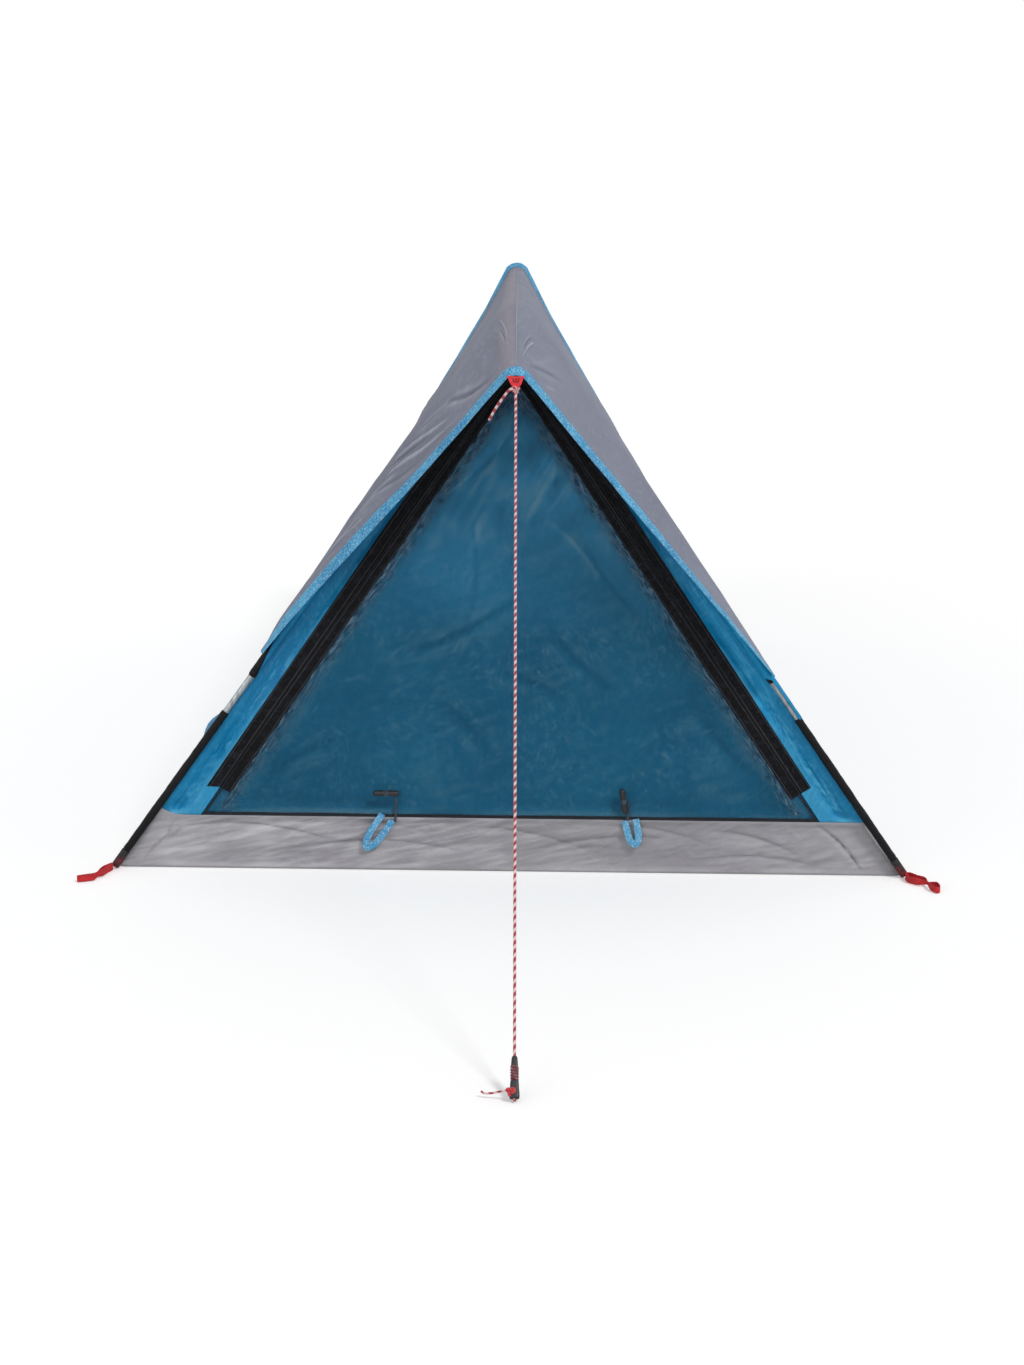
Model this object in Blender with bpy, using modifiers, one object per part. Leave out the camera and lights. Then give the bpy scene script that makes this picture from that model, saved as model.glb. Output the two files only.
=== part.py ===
"""Two-person ridge tent: two A-frames of sectional poles, an inner tent and a short fly.

Metres, +Z up. The origin is the middle of the floor's underside. The door faces -Y and
+X is on the right of someone who looks at the door. The floor narrows towards the rear.
"""

from math import atan2, cos, hypot, pi, radians, sin, tan

import bmesh
import bpy
from mathutils import Matrix, Vector

# Overall sizes
LENGTH = 2.05
FRONT_WIDTH = 1.40
REAR_WIDTH = 1.15
POLE_CROSSING = 0.985
INNER_APEX_DROP = 0.030
TUB_HEIGHT = 0.098

# Clearances and cloth
GAP = 0.0003
CLOTH = 0.0015
WALL_BELLY = 0.009
WALL_BELLY_SKEW = 0.58
RIDGE_SAG = 0.018

# Poles, ferrules, sleeves, pockets and elbows
POLE_RADIUS = 0.00425
FERRULE_WALL = 0.00095
FERRULE_LENGTH = 0.080
SLEEVE_EASE = 0.0005
SLEEVE_WALL = 0.0015
FRONT_JOINTS = (0.392, 0.784)
REAR_JOINTS = (0.370, 0.740)
POCKET_LENGTH = 0.036
POCKET_FLOOR = 0.005
ELBOW_BEND = 0.018
ELBOW_ARM = 0.040
SOCKET_DEPTH = 0.030
ELBOW_STEPS = 8
ROUND_SIDES = 16

# Fly
FLY_RIDGE_RADIUS_FRONT = 0.045
FLY_RIDGE_RADIUS_REAR = 0.030
FLY_LIFT = 0.0022
FLY_HEM_HEIGHTS = {"left": 0.398, "right": 0.368}
FLY_EDGE_DROP = 0.089
FLY_EDGE_RADIUS = 0.025
FLY_EDGE_REACH = 0.120
FLY_CORNER_REACH = 0.030
FLY_REAR_OVERHANG = 0.025
FLY_SAG = 0.012
FLY_HEM_RISE = 0.030
FLY_ROUND_SHARE = 0.25
FLY_FLAP_SHARE = 0.25
BINDING_WIDTH = 0.0145
BINDING_THICKNESS = 0.0024
BINDING_STAND_OUT = 0.00045

# Door and its zips
PANEL_FOOT_WIDTH = 0.084
DOOR_PEAK_DROP = 0.054
DOOR_CORNER = 0.006
ZIP_GAP = 0.001
TAPE_WIDTH = 0.020
TAPE_THICKNESS = 0.0012
TAPE_START = 0.052
SLIDER_SIZE = (0.010, 0.0045, 0.016)
SLIDER_ROUNDING = 0.0012
SLIDER_FROM_PEAK = 0.045
PULL_SIZE = (0.007, 0.0016, 0.026)
PULL_ROUNDING = 0.0005

# Guy rope, its tab and its runner
ROPE_RADIUS = 0.0021
ROPE_END_AHEAD = 0.965
ROPE_END_ASIDE = 0.010
ROPE_POINTS = 61
ROPE_TAIL_FRONT = 0.002
ROPE_TAIL_ROUTE = (
    (0.000, 0.000),
    (-0.005, -0.004),
    (-0.013, -0.013),
    (-0.022, -0.026),
    (-0.030, -0.040),
    (-0.036, -0.053),
)
TAB_WIDTH = 0.031
TAB_LENGTH = 0.034
TAB_TIP_WIDTH = 0.008
TAB_THICKNESS = 0.002
RUNNER_LENGTH = 0.056
RUNNER_WIDTH = 0.013
RUNNER_DEPTH = 0.010
RUNNER_ROUNDING = 0.002
RUNNER_BORE_GAP = 0.0005
RUNNER_FROM_END = 0.006

# Webbing loops for pegs at the four corners
PEG_LOOP_LENGTH = 0.090
PEG_LOOP_WIDTH = 0.020
PEG_LOOP_TAPE_WIDTH = 0.013
PEG_LOOP_TAPE_THICKNESS = 0.002
PEG_LOOP_ANGLE = radians(30)
PEG_LOOP_LIFT = 0.0005
PEG_LOOP_STEPS = 8

# Toggles and ribbons that hold the rolled door
TOGGLE_RADIUS = 0.0055
TOGGLE_LENGTH = 0.046
ELASTIC_WIDTH = 0.005
ELASTIC_THICKNESS = 0.0015
ELASTIC_TAIL = 0.010
RIBBON_WIDTH = 0.011
RIBBON_THICKNESS = 0.0015
# Toggle (x, height above the tub's edge), its turn, its elastic's x, then the ribbon's top,
# its bottom and the gap between its two runs
TIES = {
    "left": ((-0.218, 0.045), radians(0), -0.202, (-0.212, 0.006), (-0.250, -0.052), 0.004),
    "right": ((0.198, 0.0355), radians(98), 0.206, (0.203, 0.006), (0.213, -0.042), 0.005),
}

# Values that follow
INNER_APEX = POLE_CROSSING - INNER_APEX_DROP
FLY_EDGE_APEX_HEIGHT = POLE_CROSSING - FLY_EDGE_DROP
FERRULE_RADIUS = POLE_RADIUS + GAP + FERRULE_WALL
SLEEVE_RADIUS = FERRULE_RADIUS + SLEEVE_EASE + SLEEVE_WALL
FRAME_Y = LENGTH / 2
FACE_Y = FRAME_Y - SLEEVE_RADIUS - GAP
PANEL_BASE = TUB_HEIGHT + GAP
TAPE_FRONT = -FACE_Y - GAP - TAPE_THICKNESS
DOOR_PEAK = INNER_APEX - DOOR_PEAK_DROP
DOOR_HEIGHT = DOOR_PEAK - TUB_HEIGHT
TAB_DROP = BINDING_THICKNESS - BINDING_STAND_OUT + TAB_THICKNESS + GAP

PARTS = "ridge_tent"
GUIDES = "cutters"


def clear_scene():
    for old in list(bpy.data.objects):
        bpy.data.objects.remove(old, do_unlink=True)
    for name in (PARTS, GUIDES):
        bpy.context.scene.collection.children.link(bpy.data.collections.new(name))


def make_material(name, colour, roughness, metallic=0.0):
    material = bpy.data.materials.new(name)
    material.use_nodes = True
    shader = material.node_tree.nodes["Principled BSDF"]
    shader.inputs["Base Color"].default_value = (*colour, 1.0)
    shader.inputs["Roughness"].default_value = roughness
    shader.inputs["Metallic"].default_value = metallic
    material.diffuse_color = (*colour, 1.0)
    return material


def link(obj, collection=PARTS):
    bpy.data.collections[collection].objects.link(obj)
    return obj


def add_mesh(name, mesh_edit, material=None, smooth=True, collection=PARTS):
    """Turn a bmesh into a linked object, smooth-shaded with its edges kept sharp."""
    mesh = bpy.data.meshes.new(name)
    mesh_edit.to_mesh(mesh)
    mesh_edit.free()
    if smooth:
        mesh.shade_smooth()
        mesh.set_sharp_from_angle(angle=radians(40))
    if material:
        mesh.materials.append(material)
    return link(bpy.data.objects.new(name, mesh), collection)


def as_cutter(obj):
    obj.hide_render = True
    obj.display_type = "WIRE"
    return obj


def join_boolean(obj, other, operation):
    boolean = obj.modifiers.new(operation.lower() + "_" + other.name, "BOOLEAN")
    boolean.operation = operation
    boolean.solver = "EXACT"
    boolean.object = other


def add_bevel(obj, width, segments=2):
    bevel = obj.modifiers.new("rounded_edges", "BEVEL")
    bevel.width = width
    bevel.segments = segments
    bevel.limit_method = "ANGLE"


def along(start, end):
    """Placement that lays local +Z along the line from start to end, centred between them."""
    turn = (end - start).to_track_quat("Z", "Y").to_matrix().to_4x4()
    return Matrix.Translation((start + end) / 2) @ turn


def rod(name, start, end, radius, material=None, collection=PARTS):
    edit = bmesh.new()
    depth = (end - start).length
    bmesh.ops.create_cone(
        edit, cap_ends=True, segments=ROUND_SIDES, radius1=radius, radius2=radius, depth=depth
    )
    obj = add_mesh(name, edit, material, collection=collection)
    obj.matrix_world = along(start, end)
    return obj


def tube(name, start, end, outer, wall, material):
    edit = bmesh.new()
    depth = (end - start).length
    bmesh.ops.create_cone(
        edit, cap_ends=False, segments=ROUND_SIDES, radius1=outer, radius2=outer, depth=depth
    )
    obj = add_mesh(name, edit, material)
    obj.matrix_world = along(start, end)
    add_thickness(obj, wall)
    return obj


def add_thickness(obj, thickness, offset=-1.0):
    solidify = obj.modifiers.new("thickness", "SOLIDIFY")
    solidify.thickness = thickness
    solidify.offset = offset
    solidify.use_even_offset = True


def sheet(name, columns, rows, place, material, thickness=CLOTH, offset=-1.0, flip=False):
    """Lay a grid with place(across, down), both from 0 to 1, and give it the cloth's thickness."""
    edit = bmesh.new()
    bmesh.ops.create_grid(edit, x_segments=columns, y_segments=rows, size=0.5)
    for vertex in edit.verts:
        vertex.co = place(vertex.co.x + 0.5, vertex.co.y + 0.5)
    if flip:
        bmesh.ops.reverse_faces(edit, faces=edit.faces)
    obj = add_mesh(name, edit, material)
    add_thickness(obj, thickness, offset)
    return obj


def flat_outline(name, points, front_y, thickness, material):
    """Cut a flat piece from (x, z) points, with its front at front_y and its back behind it."""
    curve = bpy.data.curves.new(name, "CURVE")
    curve.dimensions = "2D"
    curve.fill_mode = "BOTH"
    curve.extrude = thickness / 2
    spline = curve.splines.new("POLY")
    spline.points.add(len(points) - 1)
    for point, (x, z) in zip(spline.points, points):
        point.co = (x, z, 0, 1)
    spline.use_cyclic_u = True
    curve.materials.append(material)
    obj = link(bpy.data.objects.new(name, curve))
    obj.location = (0, front_y + thickness / 2, 0)
    obj.rotation_euler = (pi / 2, 0, 0)
    return obj


def round_wire(name, points, radius, material, resolution=2):
    curve = bpy.data.curves.new(name, "CURVE")
    curve.dimensions = "3D"
    curve.bevel_depth = radius
    curve.bevel_resolution = resolution
    curve.use_fill_caps = True
    spline = curve.splines.new("POLY")
    spline.points.add(len(points) - 1)
    for point, position in zip(spline.points, points):
        point.co = (*position, 1)
    curve.materials.append(material)
    return link(bpy.data.objects.new(name, curve))


def curve_to_mesh(obj):
    """Replace a curve object by a welded mesh of the same name, so that it can be cut."""
    bpy.context.view_layer.update()
    evaluated = obj.evaluated_get(bpy.context.evaluated_depsgraph_get())
    mesh = bpy.data.meshes.new_from_object(evaluated)
    edit = bmesh.new()
    edit.from_mesh(mesh)
    bmesh.ops.remove_doubles(edit, verts=edit.verts, dist=0.00001)
    edit.to_mesh(mesh)
    edit.free()
    name, place = obj.name, obj.matrix_world.copy()
    bpy.data.objects.remove(obj, do_unlink=True)
    solid = link(bpy.data.objects.new(name, mesh))
    solid.matrix_world = place
    return solid


# The tent's planes

def half_width(y):
    """Half of the floor's width at y, which narrows evenly from front to rear."""
    share = (y + FRAME_Y) / LENGTH
    return (FRONT_WIDTH + (REAR_WIDTH - FRONT_WIDTH) * share) / 2


def inner_x(y, z):
    """Half-width of the inner tent's outer face at y and height z."""
    return half_width(y) * (1 - z / INNER_APEX)


DOOR_HALF = inner_x(-FACE_Y, TUB_HEIGHT) - PANEL_FOOT_WIDTH


def zip_x(z, outward=0.0):
    """Half-width of the zip line at height z, shifted square to itself by outward."""
    shift = outward * hypot(1 / DOOR_HALF, 1 / DOOR_HEIGHT)
    return DOOR_HALF * (1 + shift - (z - TUB_HEIGHT) / DOOR_HEIGHT)


def zip_peak(outward=0.0):
    """Height at which the shifted zip lines meet."""
    return TUB_HEIGHT + DOOR_HEIGHT * (1 + outward * hypot(1 / DOOR_HALF, 1 / DOOR_HEIGHT))


# Poles and what carries them

class Leg:
    """One leg of an A-frame, measured along its line up from the ground."""

    def __init__(self, end, side, joints):
        y = -FRAME_Y if end == "front" else FRAME_Y
        side_sign = -1 if side == "left" else 1
        self.side = side
        self.name = end + "_" + side
        self.joints = joints
        self.base = Vector((side_sign * half_width(y), y, 0))
        self.crossing = Vector((0, y, POLE_CROSSING))
        self.length = (self.crossing - self.base).length
        self.rise = atan2(POLE_CROSSING, half_width(y))
        self.foot = (SLEEVE_RADIUS * cos(self.rise) + GAP) / sin(self.rise)
        self.bend_start = self.length - ELBOW_BEND * tan(self.rise)
        self.elbow_end = self.bend_start - ELBOW_ARM

    def at(self, distance):
        return self.base.lerp(self.crossing, distance / self.length)


def build_leg(leg, materials):
    """Pocket, three pole sections, two ferrules and the leg's sleeves."""
    pocket_top = leg.foot + POCKET_LENGTH
    pocket = rod(
        "corner_pocket_" + leg.name,
        leg.at(leg.foot),
        leg.at(pocket_top),
        SLEEVE_RADIUS,
        materials["webbing"],
    )
    socket = rod(
        "pocket_socket_" + leg.name,
        leg.at(leg.foot + POCKET_FLOOR),
        leg.at(pocket_top + POCKET_FLOOR),
        POLE_RADIUS + GAP,
        collection=GUIDES,
    )
    join_boolean(pocket, as_cutter(socket), "DIFFERENCE")

    lower, upper = leg.joints
    pole_bottom = leg.foot + POCKET_FLOOR + GAP
    pole_top = leg.elbow_end + SOCKET_DEPTH - GAP
    stretches = (
        ("lower", pole_bottom, lower - GAP / 2),
        ("middle", lower + GAP / 2, upper - GAP / 2),
        ("upper", upper + GAP / 2, pole_top),
    )
    for place, start, end in stretches:
        name = "pole_" + leg.name + "_" + place
        rod(name, leg.at(start), leg.at(end), POLE_RADIUS, materials["fibreglass"])

    for place, centre in (("lower", lower), ("upper", upper)):
        tube(
            "ferrule_" + leg.name + "_" + place,
            leg.at(centre - FERRULE_LENGTH / 2),
            leg.at(centre + FERRULE_LENGTH / 2),
            FERRULE_RADIUS,
            FERRULE_WALL,
            materials["steel"],
        )

    sleeve_start = pocket_top + GAP
    sleeve_end = leg.elbow_end - GAP
    if leg.name.startswith("front"):
        sleeves = (
            ("_lower", sleeve_start, lower - FERRULE_LENGTH / 2),
            ("_upper", lower + FERRULE_LENGTH / 2, sleeve_end),
        )
    else:
        sleeves = (("", sleeve_start, sleeve_end),)
    for place, start, end in sleeves:
        name = "sleeve_" + leg.name + place
        tube(name, leg.at(start), leg.at(end), SLEEVE_RADIUS, SLEEVE_WALL, materials["sleeve"])


def build_elbow(end, leg, material):
    """Bent tube over the crossing of two legs, with a socket for each top section."""
    half_turn = leg.rise
    centre = leg.crossing - Vector((0, 0, ELBOW_BEND / cos(half_turn)))
    points = []
    for step in range(ELBOW_STEPS + 1):
        angle = half_turn * (2 * step / ELBOW_STEPS - 1)
        points.append(centre + ELBOW_BEND * Vector((sin(angle), 0, cos(angle))))
    points.insert(0, points[0] + ELBOW_ARM * Vector((-cos(half_turn), 0, -sin(half_turn))))
    points.append(points[-1] + ELBOW_ARM * Vector((cos(half_turn), 0, -sin(half_turn))))
    elbow = curve_to_mesh(round_wire("elbow_" + end, points, SLEEVE_RADIUS, material, resolution=3))
    elbow.data.shade_smooth()
    elbow.data.set_sharp_from_angle(angle=radians(40))
    for side, mouth, inner in (("left", points[0], points[1]), ("right", points[-1], points[-2])):
        inward = (inner - mouth).normalized()
        socket = rod(
            "elbow_socket_" + end + "_" + side,
            mouth - inward * POCKET_FLOOR,
            mouth + inward * SOCKET_DEPTH,
            POLE_RADIUS + GAP,
            collection=GUIDES,
        )
        join_boolean(elbow, as_cutter(socket), "DIFFERENCE")


# Inner tent

def build_tub(material):
    """Floor with upright edges all round, open at the top."""
    edit = bmesh.new()
    bmesh.ops.create_cube(edit, size=2)
    for vertex in edit.verts:
        y = FACE_Y if vertex.co.y > 0 else -FACE_Y
        z = TUB_HEIGHT if vertex.co.z > 0 else 0.0
        vertex.co = (vertex.co.x * inner_x(y, z), y, z)
    top = [face for face in edit.faces if face.normal.z > 0.9]
    bmesh.ops.delete(edit, geom=top, context="FACES_ONLY")
    tub = add_mesh("floor_tub", edit, material, smooth=False)
    add_thickness(tub, CLOTH)


def build_side_wall(side, material):
    """Blue wall from the tub's edge to the ridge, swelling a little below the fly's hem."""
    sign = -1 if side == "left" else 1
    front = -FACE_Y + CLOTH + GAP
    rear = FACE_Y - CLOTH - GAP

    def place(across, down):
        y = front + (rear - front) * across
        slope = atan2(INNER_APEX, half_width(y))
        bulge = 4 * across * (1 - across)
        ridge = Vector((CLOTH * sin(slope) + GAP / 2, y, INNER_APEX - RIDGE_SAG * bulge - CLOTH * cos(slope)))
        foot = Vector((inner_x(y, PANEL_BASE), y, PANEL_BASE))
        point = foot.lerp(ridge, down)
        belly = WALL_BELLY * bulge * sin(pi * down ** WALL_BELLY_SKEW)
        point += belly * Vector((sin(slope), 0, cos(slope)))
        return (sign * point.x, point.y, point.z)

    sheet("inner_wall_" + side, 8, 6, place, material, flip=side == "left")


def build_front_panel(side, material):
    """Fixed part of the front face between the pole and the door's zip."""
    sign = -1 if side == "left" else 1
    edge = ZIP_GAP / 2
    middle = GAP / 2
    top = INNER_APEX * (1 - middle / half_width(-FACE_Y))
    outline = [
        (zip_x(PANEL_BASE, edge), PANEL_BASE),
        (inner_x(-FACE_Y, PANEL_BASE), PANEL_BASE),
        (middle, top),
        (middle, zip_peak(edge) - middle * DOOR_HEIGHT / DOOR_HALF),
    ]
    points = [(sign * x, z) for x, z in outline]
    flat_outline("front_panel_" + side, points, -FACE_Y, CLOTH, material)


def build_rear_wall(material):
    base = inner_x(FACE_Y, PANEL_BASE)
    outline = [(-base, PANEL_BASE), (base, PANEL_BASE), (0, INNER_APEX)]
    flat_outline("inner_wall_rear", outline, FACE_Y - CLOTH, CLOTH, material)


def build_door(materials):
    """Two layers that fold down inward together: black net in front of blue cloth."""
    edge = -ZIP_GAP / 2
    base = zip_x(PANEL_BASE, edge)
    corner_z = PANEL_BASE + DOOR_CORNER
    corner_x = zip_x(corner_z, edge)
    outline = [
        (-base + DOOR_CORNER, PANEL_BASE),
        (base - DOOR_CORNER, PANEL_BASE),
        (corner_x, corner_z),
        (0, zip_peak(edge)),
        (-corner_x, corner_z),
    ]
    flat_outline("door_mesh", outline, -FACE_Y, CLOTH, materials["net"])
    flat_outline("door_panel", outline, -FACE_Y + CLOTH + GAP, CLOTH, materials["blue"])


def build_zip_tapes(material):
    """Black tapes on both sides of the two zips, which meet at the door's peak."""
    bottom = PANEL_BASE + TAPE_START
    bands = (("face_zip_tape", ZIP_GAP / 2), ("door_zip_tape", -ZIP_GAP / 2 - TAPE_WIDTH))
    for name, inner in bands:
        outer = inner + TAPE_WIDTH
        outline = [
            (-zip_x(bottom, outer), bottom),
            (-zip_x(bottom, inner), bottom),
            (0, zip_peak(inner)),
            (zip_x(bottom, inner), bottom),
            (zip_x(bottom, outer), bottom),
            (0, zip_peak(outer)),
        ]
        flat_outline(name, outline, TAPE_FRONT, TAPE_THICKNESS, material)


def build_slider(side, material):
    """Zip slider near the peak and its pull, which hangs down the zip from the slider's middle."""
    sign = -1 if side == "left" else 1
    lean = atan2(DOOR_HALF, DOOR_HEIGHT)
    down = Vector((sign * sin(lean), 0, -cos(lean)))
    depth = SLIDER_SIZE[1]
    back = TAPE_FRONT - GAP
    centre = Vector((0, back - depth / 2, DOOR_PEAK)) + SLIDER_FROM_PEAK * down
    slider = box("zip_slider_" + side, SLIDER_SIZE, material)
    slider.location = centre
    slider.rotation_euler = (0, -sign * lean, 0)
    add_bevel(slider, SLIDER_ROUNDING)

    hanging = (0, -PULL_SIZE[1] / 2, -PULL_SIZE[2] / 2)
    pull = box("zip_pull_" + side, PULL_SIZE, material, shift=hanging)
    pull.location = (centre.x, back - depth - GAP, centre.z)
    pull.rotation_euler = (0, -sign * lean, 0)
    add_bevel(pull, PULL_ROUNDING, 1)


def box(name, size, material, shift=(0, 0, 0)):
    edit = bmesh.new()
    bmesh.ops.create_cube(edit, size=1)
    bmesh.ops.scale(edit, vec=size, verts=edit.verts)
    bmesh.ops.translate(edit, vec=shift, verts=edit.verts)
    return add_mesh(name, edit, material)


# Fly

def ridge_section(across, top, radius, corner):
    """Half outline over a round ridge and down a straight side that ends at corner.

    across runs from -1 at the left hem over 0 at the ridge to 1 at the right hem.
    """
    share = abs(across)
    sign = -1 if across < 0 else 1
    centre_z = top - radius
    reach = hypot(corner[0], centre_z - corner[1])
    slope = atan2(centre_z - corner[1], corner[0]) + asin_ratio(radius, reach)
    if share <= FLY_ROUND_SHARE:
        angle = slope * share / FLY_ROUND_SHARE
        return sign * radius * sin(angle), centre_z + radius * cos(angle)
    tangent = Vector((radius * sin(slope), centre_z + radius * cos(slope)))
    x, z = tangent.lerp(Vector(corner), (share - FLY_ROUND_SHARE) / (1 - FLY_ROUND_SHARE))
    return sign * x, z


def asin_ratio(opposite, hypotenuse):
    return atan2(opposite, (hypotenuse ** 2 - opposite ** 2) ** 0.5)


def fly_corner(leg):
    """Hem point just outside the leg's sleeve, where the fly is held."""
    stand_off = (SLEEVE_RADIUS + GAP + CLOTH) / sin(leg.rise)
    hem = FLY_HEM_HEIGHTS[leg.side]
    centre_x = half_width(leg.base.y) * (1 - hem / POLE_CROSSING)
    return centre_x + stand_off, hem


def fly_top(leg):
    """Height of the fly's outer face over the leg's elbow."""
    elbow_top = POLE_CROSSING - ELBOW_BEND * (1 / cos(leg.rise) - 1) + SLEEVE_RADIUS
    return elbow_top + GAP + FLY_LIFT + CLOTH


class FlySurface:
    """Outer face of the fly, from its drawn-down front edge over both frames to its rear edge."""

    def __init__(self, legs):
        self.front_top = fly_top(legs["front_left"])
        self.rear_top = fly_top(legs["rear_left"])
        self.front_corners = {side: fly_corner(legs["front_" + side]) for side in FLY_HEM_HEIGHTS}
        self.rear_corners = {side: fly_corner(legs["rear_" + side]) for side in FLY_HEM_HEIGHTS}

    def lines(self, across):
        """Front edge point, point over the front frame and rear edge point of one lengthwise line."""
        side = "left" if across < 0 else "right"
        corner = self.front_corners[side]
        edge_x, edge_z = ridge_section(across, FLY_EDGE_APEX_HEIGHT, FLY_EDGE_RADIUS, corner)
        forward = (edge_z - corner[1]) / (FLY_EDGE_APEX_HEIGHT - corner[1])
        edge = Vector((edge_x, -FRAME_Y - FLY_CORNER_REACH - FLY_EDGE_REACH * forward, edge_z))
        frame_x, frame_z = ridge_section(across, self.front_top, FLY_RIDGE_RADIUS_FRONT, corner)
        rear_corner = self.rear_corners[side]
        rear_x, rear_z = ridge_section(across, self.rear_top, FLY_RIDGE_RADIUS_REAR, rear_corner)
        frame = Vector((frame_x, -FRAME_Y, frame_z))
        return edge, frame, Vector((rear_x, FRAME_Y + FLY_REAR_OVERHANG, rear_z))

    def at(self, across, distance):
        """Point at a distance back from the front edge along one lengthwise line."""
        edge, frame, rear = self.lines(across)
        flap = (frame - edge).length
        if distance <= flap:
            return edge.lerp(frame, distance / flap)
        share = (distance - flap) / (rear - frame).length
        point = frame.lerp(rear, share)
        sag = 4 * share * (1 - share)
        point.z -= FLY_SAG * sag * (1 - abs(across))
        rise = FLY_HEM_RISE * sag * abs(across) ** 3
        point += rise * Vector((-point.x, 0, POLE_CROSSING - point.z)).normalized()
        return point

    def span(self, across):
        edge, frame, rear = self.lines(across)
        flap = (frame - edge).length
        return flap, flap + (rear - frame).length


def build_fly(surface, materials):
    """Grey sheet with blue bindings on its front and rear edges."""
    inset = BINDING_WIDTH + GAP

    def place(across, down):
        line = 2 * across - 1
        flap, total = surface.span(line)
        if down <= FLY_FLAP_SHARE:
            return surface.at(line, inset + (flap - inset) * down / FLY_FLAP_SHARE)
        back = (down - FLY_FLAP_SHARE) / (1 - FLY_FLAP_SHARE)
        return surface.at(line, flap + (total - inset - flap) * back)

    sheet("fly", 32, 12, place, materials["grey"])

    def front_band(across, down):
        return surface.at(2 * across - 1, BINDING_WIDTH * down)

    def rear_band(across, down):
        line = 2 * across - 1
        return surface.at(line, surface.span(line)[1] - BINDING_WIDTH * (1 - down))

    offset = 2 * BINDING_STAND_OUT / BINDING_THICKNESS - 1
    bindings = []
    for end, band in (("front", front_band), ("rear", rear_band)):
        name = "fly_binding_" + end
        bindings.append(sheet(name, 40, 1, band, materials["binding"], BINDING_THICKNESS, offset))
    return bindings


# Guy rope

class GuyLine:
    """Straight line of the front rope, from under the fly's front peak to its peg's place.

    The peg stands a little to one side, as a pitched tent's does.
    """

    def __init__(self):
        peak_y = -FRAME_Y - FLY_CORNER_REACH - FLY_EDGE_REACH
        self.top = Vector((0, peak_y, FLY_EDGE_APEX_HEIGHT - TAB_DROP))
        self.end = Vector((ROPE_END_ASIDE, -FRAME_Y - ROPE_END_AHEAD, ROPE_RADIUS * 1.5))
        self.direction = (self.end - self.top).normalized()

    def at(self, distance):
        return self.top + self.direction * distance


def tab_outline():
    half = TAB_WIDTH / 2
    tip = TAB_TIP_WIDTH / 2
    return [(-half, 0), (half, 0), (tip, -TAB_LENGTH), (-tip, -TAB_LENGTH)]


def build_front_tab(guy, material):
    """Red tab under the binding, pulled into line with the rope."""
    tab = flat_outline("guy_tab_front", tab_outline(), -TAB_THICKNESS / 2, TAB_THICKNESS, material)
    lean = atan2(-guy.direction.y, -guy.direction.z)
    tab.location = guy.top
    tab.rotation_euler = (pi / 2 - lean, 0, 0)


def build_rear_tab(binding, surface, material):
    """Red tab sewn under the rear binding, which takes no rope in this pitch."""
    rear_z = surface.rear_top - BINDING_THICKNESS / 2
    tab = flat_outline("rear_tab_shape", tab_outline(), -TAB_THICKNESS / 2, TAB_THICKNESS, material)
    tab.location = (0, FRAME_Y + FLY_REAR_OVERHANG - BINDING_WIDTH / 2, rear_z)
    solid = curve_to_mesh(tab)
    bpy.data.collections[PARTS].objects.unlink(solid)
    link(solid, GUIDES)
    join_boolean(binding, as_cutter(solid), "UNION")


def build_rope(guy, material):
    """Taut rope from the tab's tip to the ground, with a short tail beside the tab."""
    start = TAB_LENGTH + GAP
    run = (guy.end - guy.top).length - start
    points = [guy.at(start + run * step / (ROPE_POINTS - 1)) for step in range(ROPE_POINTS)]
    rope = curve_to_mesh(round_wire("guy_rope", points, ROPE_RADIUS, material))
    knot = guy.at(start + 2 * ROPE_RADIUS)
    route = [knot + Vector((x, -ROPE_TAIL_FRONT, z)) for x, z in ROPE_TAIL_ROUTE]
    tail = curve_to_mesh(round_wire("rope_tail", route, ROPE_RADIUS, material))
    bpy.data.collections[PARTS].objects.unlink(tail)
    link(tail, GUIDES)
    join_boolean(rope, as_cutter(tail), "UNION")


def build_runner(guy, material):
    """Black adjuster that slides on the rope near the ground."""
    length = (guy.end - guy.top).length
    bottom = length - RUNNER_FROM_END
    centre = guy.at(bottom - RUNNER_LENGTH / 2)
    runner = box("line_runner", (RUNNER_WIDTH, RUNNER_DEPTH, RUNNER_LENGTH), material)
    runner.matrix_world = along(guy.at(bottom), guy.at(bottom - RUNNER_LENGTH))
    add_bevel(runner, RUNNER_ROUNDING)
    bore = rod(
        "runner_bore",
        centre - guy.direction * RUNNER_LENGTH,
        centre + guy.direction * RUNNER_LENGTH,
        ROPE_RADIUS + RUNNER_BORE_GAP,
        collection=GUIDES,
    )
    join_boolean(runner, as_cutter(bore), "DIFFERENCE")


# Corner loops, toggles and ribbons

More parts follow.
